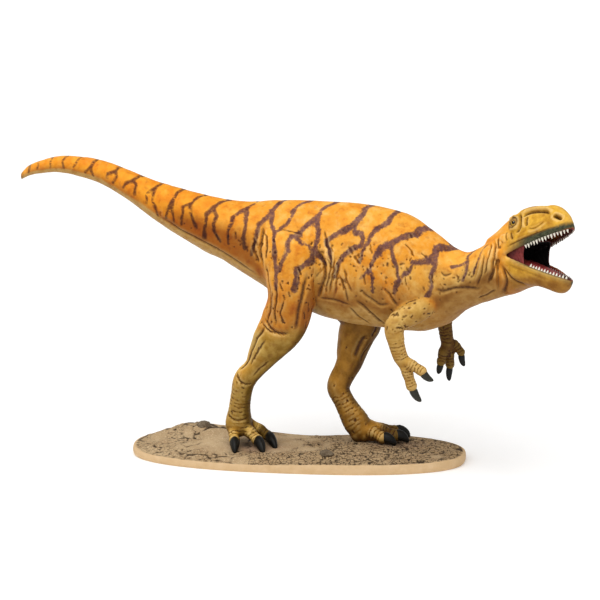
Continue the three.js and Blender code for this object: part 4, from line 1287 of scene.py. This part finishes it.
for near, _, fullness, _, _ in finger_charts.values():
    arm_paint[near] = np.maximum(arm_paint[near], fullness < 1.5)
arm_paint = arm_paint * arm_share
dull = 0.8 * neck * step(drop + 0.1 * ragged, 0.1, 0.42)
dull = np.maximum(dull, 0.6 * step(station, -8, 16) * step(drop + 0.16 * ragged, 0.40, 0.72)) * trunk
dull = np.maximum(dull, 0.75 * arm_paint)
print("pale", int((pale > 0.5).sum()), "dull", int((dull > 0.5).sum()))

# %% Painted shade on the inner sides of the limbs
# Painted shade: the inner sides of the limbs and the whole left arm, as far as it faces right, are painted
# darker, as they lie in shade.
left = np.where(skin[:, 1] > MIDDLE_Y, 1, -1)
inner = step(-broad_normals[:, 1] * left, -0.3, 0.6) * np.maximum(leg_share, arm_share)
inner = inner * (0.8 + 0.2 * (left > 0)) * (1 - arm_share)
behind = arm_share * (left > 0) * step(-skin[:, 2], -72, -66) * step(-broad_normals[:, 1], -0.6, 0.2)
inner = np.maximum(inner, behind)
ochre = np.maximum(np.maximum(below_knee, 0.35 * arm_paint), behind)
print("ochre", int((ochre > 0.5).sum()), "inner", int((inner > 0.5).sum()))

# %% Face and lips
# A dark band follows each lip: soft on the upper one, wide on the lower one's near side and thin beyond.
near_band = 0.85 - 0.3 * step(mouth_side, -0.5, 0.1) - 0.55 * step(mouth_side, -1.6, -1.0)
low_band = np.where(head[:, 1] > 0, 0.95 - 0.95 * step(mouth_side, 0.0, 0.9), near_band)
band = np.where(way > 0, 1 - step(mouth_side + 0.2 * ragged, 0.0, 1.3), low_band)
lip = band * on_head * step(head[:, 0], 4, 17) * (1 - inside_mouth)
face = on_head * step(head[:, 0] + 1.5 * ragged, 2, 8)
print("lip", int((lip > 0.5).sum()), "face", int((face > 0.5).sum()))

# %% Painted shade
FAR_TOES = ("right_inner", "left_middle", "left_outer")
tail_root = step(station, -62, -40) * (1 - step(station, -24, -10)) * step(drop, 0.18, 0.5)
# Painted shade: each term darkens a place of the skin that lies in shade when the light comes from above,
# and the belly beside the thigh gets the thigh's painted shadow.
glazed = [
    0.9 * step(-broad_normals[:, 2], -0.75, 0.8),  # all that faces down
    0.2 * step(drop, 0.4, 0.8) * (1 - leg_share),  # low on the flank
    0.8 * tail_root * trunk,
    0.7 * neck * step(drop, 0.3, 0.75) * trunk,
    0.4 * on_head * step(-head[:, 2], 8, 13),  # under the jaw
    0.7 * leg_share * step(broad_normals[:, 0], 0.35, 0.9),  # the legs' fronts
    0.25 * leg_share * (1 - step(skin[:, 2], 70, 84)) * (1 - below_knee),  # low on the thigh
    below_knee * np.where(left > 0, 0.16, -0.1),  # the left shank darker, the right one lighter
    0.18 * leg_share * (left < 0) * (1 - step(skin[:, 2], 24, 42)),  # the right foot
    1.1 * under * bell(station - 12, 11),  # the belly beside the thigh
]
shade = np.clip(sum(glazed), 0, 1) * (1 - 0.4 * pale) * (1 - 0.35 * arm_paint)
# The left arm, where it faces right, takes the full painted shade.
shade = np.maximum(shade, behind)
# The far toes of each foot are painted in shade as well.
for name in FAR_TOES:
    near, row, fullness, _, _ = toe_charts[name]
    shade[near] = np.maximum(shade[near], step(1.5 - fullness, 0, 0.3) * step(row, 8, 16))
print("glazed", int((shade > 0.5).sum()))

# %% Wash
# The wash also fills every hollow that the relief shows, and the limbs got more of it. Under the feet and
# on the belly beside the thigh it is painted shade.
relief = ((skin - relaxed(skin, edges, 8)) * normals).sum(axis=1) / 0.1
tail_end = 1 - step(station, -125.5, -122.5)
# Painted shade under the feet, near the ground.
sole = leg_share * (1 - step(skin[:, 2], 9, 15)) * step(-broad_normals[:, 2], -0.1, 0.5)
ink = np.maximum(ink, 0.7 * step(-relief, 0.3, 1.2))
ink = np.maximum(ink, 0.6 * tail_end * trunk)
ink = np.clip(ink * (1 + 0.4 * np.maximum(leg_share, arm_share)), 0, 1)
ink = np.maximum(ink, 0.6 * sole)
# Painted shadow of the thigh on the belly beside it.
ink = np.maximum(ink, 0.4 * under * bell(station - 9, 7))
print("washed", int((ink > 0.3).sum()))

# %% Skin paint


def striped(mix, patch, fine, colour):
    """Purple-brown stripes over a colour: the edge is torn by noise, less on the tail, and rubbed thin."""
    frayed = mix.maths("ADD", mix.ramp(patch, 0.3, 0.7, -0.45, 0.35), mix.ramp(fine, 0.2, 0.8, -0.5, 0.5))
    frayed = mix.maths("MULTIPLY", frayed, mix.ramp(mix.stored("tail"), 0, 1, 1, 0.25))
    torn = mix.maths("ADD", mix.stored("stripe"), frayed)
    laid = mix.maths("MULTIPLY", mix.ramp(torn, -0.35, 0.25, 1, 0), mix.ramp(fine, 0.3, 0.55, 0.72, 0.95))
    brown = mix.mixed(mix.stored("tail"), mix.dappled(patch, "#4C2D33", "#785052"), "#5A2814")
    return mix.mixed(laid, colour, brown)


def skin_paint():
    """Layers, as the painter lays them: orange with yellow patches, olive on neck and flank, ochre limbs,
    a pale belly, purple-brown stripes, a dry brush on the ridges, a brown painted shade on all that faces
    down and darker inner sides, as if the light came from above, dark lips, a red mouth and then a dark wash
    in the folds."""
    mix = Paint("skin_paint", Specular_IOR_Level=0.16)
    broad, patch, fine = mix.mottle(16), mix.mottle(4.5, 4), mix.mottle(1.1)
    colour = mix.dappled(broad, "#EE9A26", "#F5AC3C", 0.38, 0.62)
    colour = mix.mixed(mix.ramp(patch, 0.5, 0.7, 0, 0.75), colour, "#FAC468")
    colour = mix.mixed(mix.ramp(patch, 0.45, 0.3, 0, 0.7), colour, "#D5771A")
    limb = mix.dappled(patch, "#B08328", "#DDB35A")
    zones = {
        "tail": mix.dappled(patch, "#EA8A14", "#F8A628"),
        "dull": mix.dappled(patch, "#B08A44", "#D9B465"),
        "face": mix.dappled(patch, "#BE8722", "#EAB43C"),
        "ochre": mix.mixed(mix.ramp(broad, 0.5, 0.68, 0, 0.5), limb, "#CF8F28"),
        # The inner sides' browns are painted shade.
        "inner": mix.dappled(patch, "#A06E1C", "#CC9236"),
        "pale": mix.dappled(patch, "#CB9A48", "#E2BC74"),
    }
    for zone, layer in zones.items():
        colour = mix.mixed(mix.stored(zone), colour, layer)
    colour = striped(mix, patch, fine, colour)
    speck = mix.mottle(2.2, 5, 0.3)
    colour = mix.mixed(mix.ramp(speck, 0.42, 0.3, 0, 0.3), colour, "#B5803C", "MULTIPLY")
    ridge = mix.ramp(mix.stored("relief"), 0.2, 1.2, 0, 0.4)
    ridge = mix.maths("MULTIPLY", ridge, mix.ramp(mix.stored("ochre"), 0, 1, 1, 1.5))
    colour = mix.mixed(ridge, colour, "#FFDC94")
    # Painted shade: the shade attribute lays this brown over all that faces down and other places in shade.
    glaze = mix.mixed(mix.stored("ochre"), "#9A8366", "#7E764C")
    colour = mix.mixed(mix.stored("shade"), colour, glaze, "MULTIPLY")
    colour = mix.mixed(mix.stored("lip"), colour, mix.dappled(fine, "#2A2B1B", "#4C4D36"))
    colour = mix.mixed(mix.stored("mouth"), colour, mix.dappled(patch, "#4A110F", "#8A2824"))
    soaked = mix.maths("MULTIPLY", mix.stored("ink"), mix.ramp(fine, 0.25, 0.6, 0.6, 1))
    colour = mix.mixed(mix.ramp(soaked, 0.08, 0.8, 0, 0.85), colour, "#34170C")
    grain = mix.maths("ADD", mix.mottle(0.5, 2), mix.maths("MULTIPLY", fine, 0.8))
    return mix.finish(colour, mix.ramp(fine, 0.3, 0.7, 0.45, 0.62), grain, 0.09)


hide_paint = skin_paint()
print("skin paint:", len(hide_paint.node_tree.nodes), "nodes")

# %% The painted skin
FLESH_NODES = ["tail_tip", "tail_mid", "tail_root", "torso", "neck", "skull", "lower_jaw"]
for half in ("right", "left"):
    FLESH_NODES += [part + half for part in ("thigh_", "shank_", "foot_", "upper_arm_", "forearm_", "hand_")]
SKIN_TRIANGLES = 196000

skin_mesh.vertices.foreach_set("co", (skin * MM).astype(np.float32).ravel())
skin_mesh.update()
rough_skin = linked("rough_skin", skin_mesh)
keep_values(rough_skin, stripe=stripe, ink=ink, relief=np.clip(relief, -2, 2), pale=pale, shade=shade)
keep_values(rough_skin, dull=dull, ochre=ochre, lip=lip, mouth=inside_mouth, face=face, tail=tail)
keep_values(rough_skin, inner=inner)
thin = rough_skin.modifiers.new("thin", "DECIMATE")
thin.ratio = min(1.0, SKIN_TRIANGLES / (2 * len(quads)))
hide_mesh = applied(rough_skin)
hide_mesh.polygons.foreach_set("use_smooth", np.ones(len(hide_mesh.polygons), bool))
hide_mesh.materials.clear()
hide_mesh.materials.append(hide_paint)
hide = linked("painted_skin", hide_mesh)
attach(hide, "root")
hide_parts(*FLESH_NODES)
print("painted skin:", len(hide_mesh.vertices), "points,", len(hide_mesh.polygons), "faces")

# %% [markdown]
# ## Teeth
# Short ivory pegs stand close together along both lips. One tooth is a small cone of a few rings, bent a
# little inwards; numpy copies it to every place on the lip at once.

# %% Tooth shape
TOOTH_SPACING = 1.45
TOOTH_RINGS, TOOTH_SIDES = 7, 8


def tooth_places(half, reach, start):
    """Places at equal steps along the lip's curve: the curve's length, cut into even parts."""
    f = np.linspace(start, reach - 1.1, 400)
    out = np.maximum(jaw_half(half, reach, f) - 1.35, 0)
    runs = np.append(0, np.cumsum(np.hypot(np.diff(f), np.diff(out))))
    even = np.arange(0, runs[-1] - 0.4, TOOTH_SPACING)
    return np.interp(even, runs, f), np.interp(even, runs, out)


def tooth_shells(half, reach, start, way, root, size):
    """Every tooth of a jaw: rings of radius 0.72 (1 - 0.85 t^2) from inside the lip to the point.
    The left side's teeth are shorter, as if ground down. The second array is 1 on the side towards the
    tongue, where the teeth are painted in shade."""
    f, out = tooth_places(half, reach, start)
    f, out = np.tile(f, 2), np.concatenate([out, -out])
    long = size * (0.7 + 0.3 * np.sin(1.1 * np.arange(len(f))) ** 2) * np.where(out > 0, 0.6, 1)
    t = np.linspace(0, 1, TOOTH_RINGS)
    a = circle(TOOTH_SIDES)
    thick = 0.72 * (1 - 0.85 * t**2)
    lean = 0.25 * t**2
    x = f[:, None, None] + (thick[:, None] * np.cos(a))[None] - (lean * 0.6)[None, :, None]
    y = out[:, None, None] + (0.85 * thick[:, None] * np.sin(a))[None]
    y = y - np.sign(out)[:, None, None] * lean[None, :, None]
    z = way * (root + 1.0 - t * (1 + long[:, None]))[..., None]
    rings = np.stack([x, y, np.broadcast_to(z, x.shape)], axis=-1)
    # Painted shade goes on the side of each tooth that faces the tongue.
    hind = np.broadcast_to(step(-np.sign(out)[:, None, None] * np.sin(a), -0.1, 0.5), x.shape)
    return (rings, hind) if way < 0 else (rings[:, :, ::-1], hind[:, :, ::-1])


print("places along one lip:", len(tooth_places(SKULL_HALF, SKULL_LENGTH, 15)[0]))

# %% Teeth in place


def tooth_paint():
    """Ivory, darker towards the root, and a dark maroon painted shade on the side towards the tongue."""
    mix = Paint("tooth_paint", Coat_Weight=0.2, Coat_Roughness=0.25)
    shade = mix.mottle(0.8)
    colour = mix.dappled(shade, "#D9D2BE", "#EFEADA")
    colour = mix.mixed(mix.ramp(mix.stored("root"), 0.5, 0.9, 0, 0.7), colour, "#7A6040")
    # Painted shade: the tongue side of each tooth is dark maroon, as the inside of the mouth lies in shade.
    colour = mix.mixed(mix.stored("hind"), colour, "#4A2018")
    return mix.finish(colour, mix.ramp(shade, 0.3, 0.7, 0.3, 0.42), shade, 0.02)


upper_teeth, upper_hind = tooth_shells(SKULL_HALF, SKULL_LENGTH, 15, 1, -0.2, 2.3)
lower_teeth, lower_hind = tooth_shells(JAW_HALF, JAW_LENGTH, 18, -1, -0.2, 1.4)
shells = [closed_tube(rings) for rings in from_head(upper_teeth, SKULL_OPEN)]
shells += [closed_tube(rings) for rings in from_head(lower_teeth, JAW_OPEN)]
teeth = new_piece("teeth", *gathered(shells), tooth_paint())
root_share = np.append(np.repeat(1 - np.linspace(0, 1, TOOTH_RINGS), TOOTH_SIDES), [1, 0])
hind = np.concatenate([upper_hind, lower_hind]).reshape(len(shells), -1)
keep_values(teeth, root=np.tile(root_share, len(shells)), hind=np.pad(hind, ((0, 0), (0, 2))).ravel())
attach(teeth, "root")
print("teeth:", len(shells))

# %% [markdown]
# ## The inside of the mouth
# Folds of skin join the jaws at the corners, and behind them the throat is painted dark as shade. One funnel
# makes both: its outside runs forward along the cheeks, rolls over at a soft front edge and runs back into
# the throat.

# %% Shape of the cheeks
CHEEK_FROM, CHEEK_TO = 0.6, 14.6
FAR_CHEEK = 0.2  # how much further forward the left cheek's fold reaches


def cheek_funnel(count=30, sides=56):
    """A square section |y/w|^6 + |z/h|^6 = 1 whose half height follows the gape, drawn in at its sides.
    The first half of the rings goes out to the front edge, the second half back in, inside the first."""
    out = np.sin(np.linspace(0.05, np.pi / 2, count)) * (CHEEK_TO - CHEEK_FROM) + CHEEK_FROM
    back = np.linspace(CHEEK_TO - 0.25, 3.2, count)
    f = np.concatenate([out, back])[:, None]
    wall = np.concatenate([np.zeros(count), 0.35 + 2.6 * np.linspace(0, 1, count) ** 1.5])[:, None]
    a = circle(sides)
    c, s = np.cos(a), np.sin(a)
    square = (np.abs(c) ** 6 + np.abs(s) ** 6) ** (-1 / 6)
    reach = f * (1 + FAR_CHEEK * step(c * square, 0.0, 1.0) * step(f, 5, CHEEK_TO))
    wide = jaw_half(JAW_HALF, JAW_LENGTH, reach) - 0.7 - wall
    high = np.maximum(reach * np.tan(np.radians(GAPE / 2)) + 1.3 - wall, 0.2)
    z = high * s * square
    fold = 1 - 0.12 * (1 - (z / high) ** 2) + 0.015 * np.sin(3.1 * f + 9 * s)
    front = reach - 1.6 * (1 - (s * square) ** 2) * step(f, 7, CHEEK_TO)
    rings = np.stack([front, wide * c * square * fold, z], axis=-1)
    # How far each ring is darkened by painted shade: part way on the cheeks' outside, fully down the throat.
    depth = np.concatenate([0.62 - 0.3 * step(out, 4, CHEEK_TO - 1), np.ones(count)])
    return rings, np.append(np.repeat(depth, sides), [0.3, 1])


rings, depth = cheek_funnel()
print("cheek rings:", len(rings))

# %% Cheeks and throat


def mouth_paint():
    """Maroon flesh with a painted shade that darkens it to black down the throat."""
    mix = Paint("mouth_paint", Specular_IOR_Level=0.3)
    patch = mix.mottle(2.4, 4)
    colour = mix.dappled(patch, "#701D1D", "#993A36")
    # Painted shade: the depth attribute darkens the flesh towards black.
    colour = mix.mixed(mix.ramp(mix.stored("depth"), 0.1, 0.9), colour, "#080303")
    return mix.finish(colour, mix.ramp(patch, 0.3, 0.7, 0.4, 0.6), patch, 0.08)


flesh_red = mouth_paint()
cheeks = new_piece("mouth_cheeks", *closed_tube(from_head(rings, 0)), flesh_red)
keep_values(cheeks, depth=depth)
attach(cheeks, "root")
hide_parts("mouth_lining")
print("cheeks:", len(cheeks.data.polygons), "faces")

# %% Tongue
TONGUE_RINGS, TONGUE_SIDES = 44, 32
TONGUE_FROM, TONGUE_LENGTH = 9, 21


def tongue_rings():
    """A flat tube that fills the jaw's floor and narrows to a round tip, with a groove along its top."""
    t = np.linspace(0, 1, TONGUE_RINGS)[:, None]
    f = TONGUE_FROM + TONGUE_LENGTH * t
    swell = np.sqrt(np.clip(1 - t**4, 0.004, 1)) * (1 - 0.25 * t)
    a = circle(TONGUE_SIDES)
    y = 5.2 * swell * np.cos(a)
    groove = 0.55 * bell(y, 1.1) * (np.sin(a) > 0) * swell
    z = -0.2 + 0.4 * t**2 + 1.9 * swell * np.sin(a) - groove
    return np.stack([f * np.ones_like(a), y, z], axis=-1)


tongue = new_piece("tongue_flesh", *closed_tube(from_head(tongue_rings(), JAW_OPEN)), flesh_red)
# Painted shade: the tongue darkens towards the throat.
darker = 0.6 * (1 - np.linspace(0, 1, TONGUE_RINGS)) ** 2
keep_values(tongue, depth=np.append(np.repeat(darker, TONGUE_SIDES), [0.6, 0]))
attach(tongue, "root")
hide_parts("tongue")
print("tongue:", len(tongue.data.polygons), "faces")

# %% [markdown]
# ## Eyes
# The eye is a ball with a dark round pupil in a yellow-olive iris, sealed by a gloss varnish.
# A rolled lid lies round it: a ring swept along an almond line on the ball.

# %% Eyeball
EYE_RADIUS = 1.6


def eye_ball(way, count=24, sides=32):
    """A ball about the eye's middle, its poles along the line of sight; the share from front to back,
    and a white spot beside the pupil, a painted highlight that stands for a lamp's reflection."""
    t = np.linspace(0.02, np.pi - 0.02, count)[:, None]
    a = circle(sides)
    sight = unit(np.array([0.35, way, 0.12]))
    over = unit(np.cross(sight, [1, 0, 0]))
    beside = np.cross(over, sight)
    ring = np.cos(a)[:, None] * over + np.sin(a)[:, None] * beside
    ball = np.cos(t)[..., None] * sight + np.sin(t)[..., None] * ring
    share = np.append(np.repeat(np.linspace(0, 1, count), sides), [0, 1])
    spot = np.linalg.norm(ball - unit(sight + [0.2, 0, 0.22]), axis=-1)
    spark = np.append(1 - step(spot.ravel(), 0.06, 0.2), [0, 0])
    return EYE * [1, way, 1] + EYE_RADIUS * ball, share, spark


print("points of an eyeball:", len(eye_ball(1)[1]))

# %% Eyelid


def lid_rings(way, count=64, sides=14):
    """An almond line round the eye, its half sizes 1.9 and 1.35, with a lid about 0.5 thick."""
    b = circle(count)
    f = 1.9 * np.cos(b)
    u = np.where(np.sin(b) > 0, 1.35, 1.3) * np.sin(b) + 0.12 * np.cos(b)
    bulge = np.sqrt(np.clip(EYE_RADIUS**2 * 1.25 - 0.45 * (f**2 + u**2), 0.05, 9)) - 0.28
    line = np.stack([EYE[0] + f, way * (EYE[1] + bulge), EYE[2] + u], axis=-1)
    along = unit(np.roll(line, -1, axis=0) - np.roll(line, 1, axis=0))
    outward = unit(line - EYE * [1, way, 1])
    across = np.cross(along, outward)
    thick = (0.52 + 0.12 * np.sin(b) + 0.05 * np.sin(9 * b))[:, None, None]
    a = circle(sides)[:, None]
    return line[:, None] + thick * (np.cos(a) * outward[:, None] + np.sin(a) * across[:, None])


print("a lid spans", np.round(np.ptp(lid_rings(1), axis=(0, 1)), 1), "mm")

# %% Eye and lid paint


def eye_paint():
    """Pupil, iris and dark rim by the share from front to back, with a painted highlight beside the pupil,
    under a clear gloss.
    """
    mix = Paint("eye_paint", Coat_Weight=0.1, Coat_Roughness=0.1, Specular_IOR_Level=0.2)
    share, fleck = mix.stored("gaze"), mix.mottle(0.35, 4)
    iris = mix.dappled(fleck, "#8A6A18", "#D9B03A", 0.3, 0.7)
    colour = mix.dappled(share, "#080706", iris, 0.14, 0.17)
    colour = mix.dappled(share, colour, "#1E160C", 0.34, 0.42)
    # Painted highlight: a white spot for the reflection of a light.
    colour = mix.mixed(mix.stored("spark"), colour, "#D8D2C0")
    return mix.finish(colour, mix.ramp(fleck, 0.3, 0.7, 0.15, 0.25), fleck, 0.01)


def lid_paint():
    """Wrinkled ochre skin with a brown wash."""
    mix = Paint("lid_paint", Specular_IOR_Level=0.4)
    patch = mix.mottle(0.7, 4)
    colour = mix.dappled(patch, "#4A2A12", "#B98A38", 0.35, 0.6)
    return mix.finish(colour, mix.ramp(patch, 0.3, 0.7, 0.4, 0.55), patch, 0.08)


glossy, leathery = eye_paint(), lid_paint()
print("eye paint:", len(glossy.node_tree.nodes), "nodes")

# %% Eyes in place
for name, way in (("right", -1), ("left", 1)):
    ball, gaze, spark = eye_ball(way)
    eye = new_piece("eyeball_" + name, *closed_tube(from_head(ball, SKULL_OPEN)), glossy)
    keep_values(eye, gaze=gaze, spark=spark)
    rings = from_head(lid_rings(way), SKULL_OPEN)
    count, sides, _ = rings.shape
    looped = grid_faces(count + 1, sides) % (count * sides)
    lid = new_piece("eyelid_" + name, rings.reshape(-1, 3), looped.tolist(), leathery)
    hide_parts("eye_" + name)
    for piece in (eye, lid):
        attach(piece, "root")
print("right eye at", np.round(from_head(EYE * [1, -1, 1], SKULL_OPEN), 1))

# %% [markdown]
# ## The ground
# The base is an oval slab with a plain rim and a crust of dried earth: cracks, pits and crumbs, with a low
# mound behind the figure's right foot. The outline is a superellipse; the crust is worked out as a height
# for every point, and the depth of its cracks tells the paint where the dark wash settles.

# %% Ground outline
BASE_HALF, BASE_FRONT, BASE_BACK = 73.7, 27, 28
BASE_MIDDLE, BASE_SKEW = (1, 1), 0.02
ROUNDING = 2 / 2.4  # the power of a superellipse between an ellipse and a rectangle
WAIST_AT, WAIST_DEPTH, WAIST_WIDTH = 3, 9, 24


def base_points(angle, share):
    """The outline drawn in by share: a |cos|^power and b |sin|^power, with a waist at the back."""
    c, s = np.cos(angle), np.sin(angle)
    x = BASE_HALF * np.sign(c) * np.abs(c) ** ROUNDING
    deep = np.abs(s) ** ROUNDING
    waist = WAIST_DEPTH * bell(x - WAIST_AT, WAIST_WIDTH)
    reach = np.where(s < 0, -BASE_FRONT * deep, (BASE_BACK - waist) * deep)
    return BASE_MIDDLE[0] + x * share, BASE_MIDDLE[1] + (BASE_SKEW * x + reach) * share


print("base spans", np.round(np.ptp(base_points(circle(360), 1), axis=1), 1), "mm")

# %% Ground height and crust
BASE_RIM, BASE_DOME = 4.4, 1.8
# A soft round place: middle, then spread.
MOUND, MOUND_HEIGHT = ((-52, 18), (20, 11)), 4.6


def spot(x, y, place):
    """A soft round place: exp(-(across / spread)^2 - (along / spread)^2) about its middle."""
    middle, spread = place
    return np.exp(-(((x - middle[0]) / spread[0]) ** 2) - ((y - middle[1]) / spread[1]) ** 2)


def ground_height(x, y, share):
    """Rim + dome (1 - share^2) + a mound that fades out at the edge."""
    mound = MOUND_HEIGHT * spot(x, y, MOUND)
    return BASE_RIM + BASE_DOME * (1 - share**2) + mound * np.minimum(1, (1 - share) / 0.12)


def cell_edge(points, size, seed=0):
    """Distance to the border between scattered cells: half of second nearest seed less nearest seed."""
    cell = np.floor(points / size)
    nearest = np.full(len(points), 1e9)
    second = nearest.copy()
    for offset in np.ndindex(3, 3):
        there = cell + (offset[0] - 1, offset[1] - 1, 0)
        jitter = np.stack([chance(there, seed), chance(there, seed + 1)], axis=-1)
        apart = np.linalg.norm((there[:, :2] + jitter) * size - points[:, :2], axis=1)
        second = np.minimum(second, np.maximum(nearest, apart))
        nearest = np.minimum(nearest, apart)
    return (second - nearest) / 2


def crust(x, y):
    """Lumps, long cracks and pits: a height to add, how dark the wash is, and where the crust is crazed."""
    flat = np.stack([x, y, np.zeros_like(x)], axis=-1)
    bent = flat + 0.7 * np.stack([noise(flat, 1.7, 91), noise(flat, 1.7, 92), 0 * x], axis=-1)
    places = step(x, -10, 26) + 0.7 * step(-x, 36, 58) + 0.7 * step(-y, 8, 18) + 0.9 * noise(flat, 7, 93)
    crazed = step(places, 0.1, 0.85)
    large = bell(cell_edge(bent, 9, 5), 0.22) * step(noise(flat, 9, 94), -0.3, 0.2)
    pits = step(noise(flat, 1.25, 95), 0.4, 0.7) * crazed
    crumbs = rough(flat, 3.2, 97, 4)
    height = (0.14 + 0.14 * crazed) * crumbs - 0.35 * large - 0.25 * pits
    return height, np.clip(np.maximum(0.8 * large, 0.7 * pits), 0, 1), crazed


print("the middle of the ground lies at", round(float(ground_height(0, 0, 0)), 1), "mm")

# %% Ground slab
# Where the feet press and the ground is painted darker round them, and the painted shadow under the toes:
# middle, then spread.
RIGHT_PRINT, LEFT_PRINT = ((-17, -7), (12, 7)), ((42, 8), (12, 7))
RIGHT_TOES, LEFT_TOES = ((-21.5, -3.5), (3.2, 3.6)), ((40, 8), (5, 3.5))
# The wall from the underside up: share of the outline, and height.
WALL = [(0.5, 0), (0.93, 0), (0.980, 0), (0.988, 0.1), (0.994, 0.5), (0.999, 1.5), (1.0, 2.4)]
WALL += [(0.998, 3.6), (0.995, 4.15), (0.990, 4.42), (0.984, 4.46)]


def slab(sides=560, count=110):
    """Rings from the middle of the underside out over the wall and in across the ground.
    The edge sags at the front left, the right foot presses a hollow, the ground round the feet is marked for
    darker paint, and a painted shadow darkens the ground under the toes."""
    wall_share, wall_height = np.array(WALL).T
    shares = np.append(wall_share, np.linspace(0.978, 0.012, count))
    angle = circle(sides)
    x, y = base_points(angle, shares[:, None])
    z = ground_height(x, y, shares[:, None])
    bump, dark, crazed = crust(x.ravel(), y.ravel())
    inner = step(0.988 - shares, 0, 0.014)[:, None]
    right_foot = spot(x, y, RIGHT_PRINT)
    # The ground round both feet is painted darker; the right foot also presses a hollow.
    trod = right_foot + spot(x, y, LEFT_PRINT)
    sag = 1.1 * (1 - step(x, -20, 22)) * step(-y, 2, 14)
    z = z + (bump.reshape(x.shape) - 0.6 * right_foot) * inner - sag * step(shares[:, None], 0.7, 0.98)
    z[: len(WALL)] = wall_height[:, None] * (1 - sag[: len(WALL)] / BASE_RIM)
    back_edge = 0.6 * step(shares[:, None], 0.955, 0.972) * (np.sin(angle) > 0)
    # Painted shadow on the ground under and between the toes.
    between_toes = spot(x, y, RIGHT_TOES) + spot(x, y, LEFT_TOES)
    wash = np.maximum(np.maximum(dark.reshape(x.shape), back_edge), 0.6 * between_toes) * inner
    rim = np.broadcast_to(1 - inner, x.shape)
    crazed = crazed.reshape(x.shape) * inner * (0.45 + 0.55 * step(x, -45, 5))
    return np.stack([x, y, z], axis=-1), wash, rim, crazed, trod


rings, wash, rim, crazed, trod = slab()
print("slab:", len(rings), "rings, the highest point at", round(rings[..., 2].max(), 1), "mm")

# %% Ground paint


def crazing(mix):
    """Fine dark cracks: the borders of small cells in wavy coordinates, broken off by noise."""
    place = mix.place()
    sway = mix.node("ShaderNodeTexNoise", {"Vector": place, "Scale": 1 / (1.3 * MM), "Detail": 2})
    reach = {0: sway.outputs["Color"], 1: (1.1 * MM, 1.1 * MM, 0)}
    pull = mix.node("ShaderNodeVectorMath", reach, operation="MULTIPLY")
    moved = mix.node("ShaderNodeVectorMath", {0: place, 1: pull.outputs[0]}, operation="ADD")
    sockets = {"Vector": moved.outputs[0], "Scale": 1 / (1.8 * MM)}
    cells = mix.node("ShaderNodeTexVoronoi", sockets, feature="DISTANCE_TO_EDGE").outputs["Distance"]
    crack = mix.maths("MULTIPLY", mix.ramp(cells, 0.022, 0.08, 1, 0), mix.stored("crazed"))
    return mix.maths("MULTIPLY", crack, mix.ramp(mix.mottle(1.6, 2), 0.36, 0.48, 0, 1))


def ground_paint():
    """Tan earth with grey and rust patches, fine crazing, dark wash in the cracks, a plain tan rim."""
    mix = Paint("ground_paint", Specular_IOR_Level=0.25)
    broad, patch, fine = mix.mottle(14), mix.mottle(3.5, 4), mix.mottle(0.6, 4)
    earth = mix.dappled(broad, "#A98D68", "#C2A780", 0.38, 0.62)
    earth = mix.mixed(mix.ramp(patch, 0.52, 0.72, 0, 0.6), earth, "#9C7A58")
    earth = mix.mixed(mix.ramp(fine, 0.52, 0.68, 0, 0.75), earth, "#E0CCA8")
    earth = mix.mixed(mix.ramp(mix.stored("crazed"), 0.2, 1, 0, 0.4), earth, "#9A7A50")
    # The ground is painted a darker, pinker brown round the feet.
    earth = mix.mixed(mix.ramp(mix.stored("trod"), 0.1, 0.9, 0, 0.5), earth, "#94715F")
    rim = mix.dappled(patch, "#CBAA7E", "#D6B78E", 0.3, 0.7)
    crack = crazing(mix)
    # The wash holds the painted shadow under the toes as well as the dark in the cracks.
    dark = mix.maths("MAXIMUM", mix.stored("wash"), crack)
    colour = mix.mixed(mix.stored("rim"), earth, rim)
    colour = mix.mixed(mix.ramp(dark, 0.1, 0.6, 0, 0.92), colour, "#2E2012")
    grain = mix.maths("SUBTRACT", fine, mix.maths("MULTIPLY", crack, 2.5))
    return mix.finish(colour, mix.ramp(fine, 0.3, 0.7, 0.7, 0.9), grain, 0.08)


earthy = ground_paint()
print("ground paint:", len(earthy.node_tree.nodes), "nodes")

# %% The ground in place
ground = new_piece("ground_slab", *closed_tube(rings), earthy)
keep_values(ground, wash=np.append(wash.ravel(), [0, 0]), rim=np.append(rim.ravel(), [1, 0]))
keep_values(ground, crazed=np.append(crazed.ravel(), [0, 0]), trod=np.append(trod.ravel(), [0, 0]))
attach(ground, "root")
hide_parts("base")
print("ground:", len(ground.data.polygons), "faces")

# %% Stones
STONES = {
    "stone_left": ([-44, 15, 8.4], [3.4, 2.9, 2.2], 25),
    "stone_front": ([15.2, -14, 6.3], [3.1, 2.5, 1.5], -10),
    "stone_rear": ([-30, 15, 6.9], [2.6, 2.2, 1.6], 60),
}


def stone_rings(middle, size, turn, seed, count=40, sides=60):
    """A ball whose radius is broken by noise and cut by soft flats, squashed and turned into place."""
    t = np.linspace(0.03, np.pi - 0.03, count)[:, None]
    a = circle(sides)
    ball = np.stack(
        [np.sin(t) * np.cos(a), np.sin(t) * np.sin(a), -np.cos(t) * np.ones_like(a)], axis=-1
    )
    flats = np.floor(2.5 * noise(ball.reshape(-1, 3), 0.9, seed)).reshape(count, sides)
    swell = 1 + 0.13 * rough(ball.reshape(-1, 3), 0.8, seed + 3).reshape(count, sides) + 0.03 * flats
    return (ball * swell[..., None] * size) @ turned(2, turn).T + middle


def stone_paint():
    """Grey-brown stone with a dark wash and pale rubbed faces."""
    mix = Paint("stone_paint", Specular_IOR_Level=0.25)
    patch, fine = mix.mottle(2.2, 4), mix.mottle(0.5, 4)
    colour = mix.dappled(patch, "#6B5B48", "#95866E")
    colour = mix.mixed(mix.ramp(fine, 0.6, 0.42, 0, 0.6), colour, "#3F3326")
    return mix.finish(colour, mix.ramp(fine, 0.3, 0.7, 0.7, 0.9), fine, 0.08)


pebble = stone_paint()
for seed, (name, (middle, size, turn)) in enumerate(STONES.items()):
    piece = new_piece("pebble_" + name, *closed_tube(stone_rings(middle, size, turn, 100 + seed)), pebble)
    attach(piece, "root")
    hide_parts(name)
print("stones:", len(STONES))
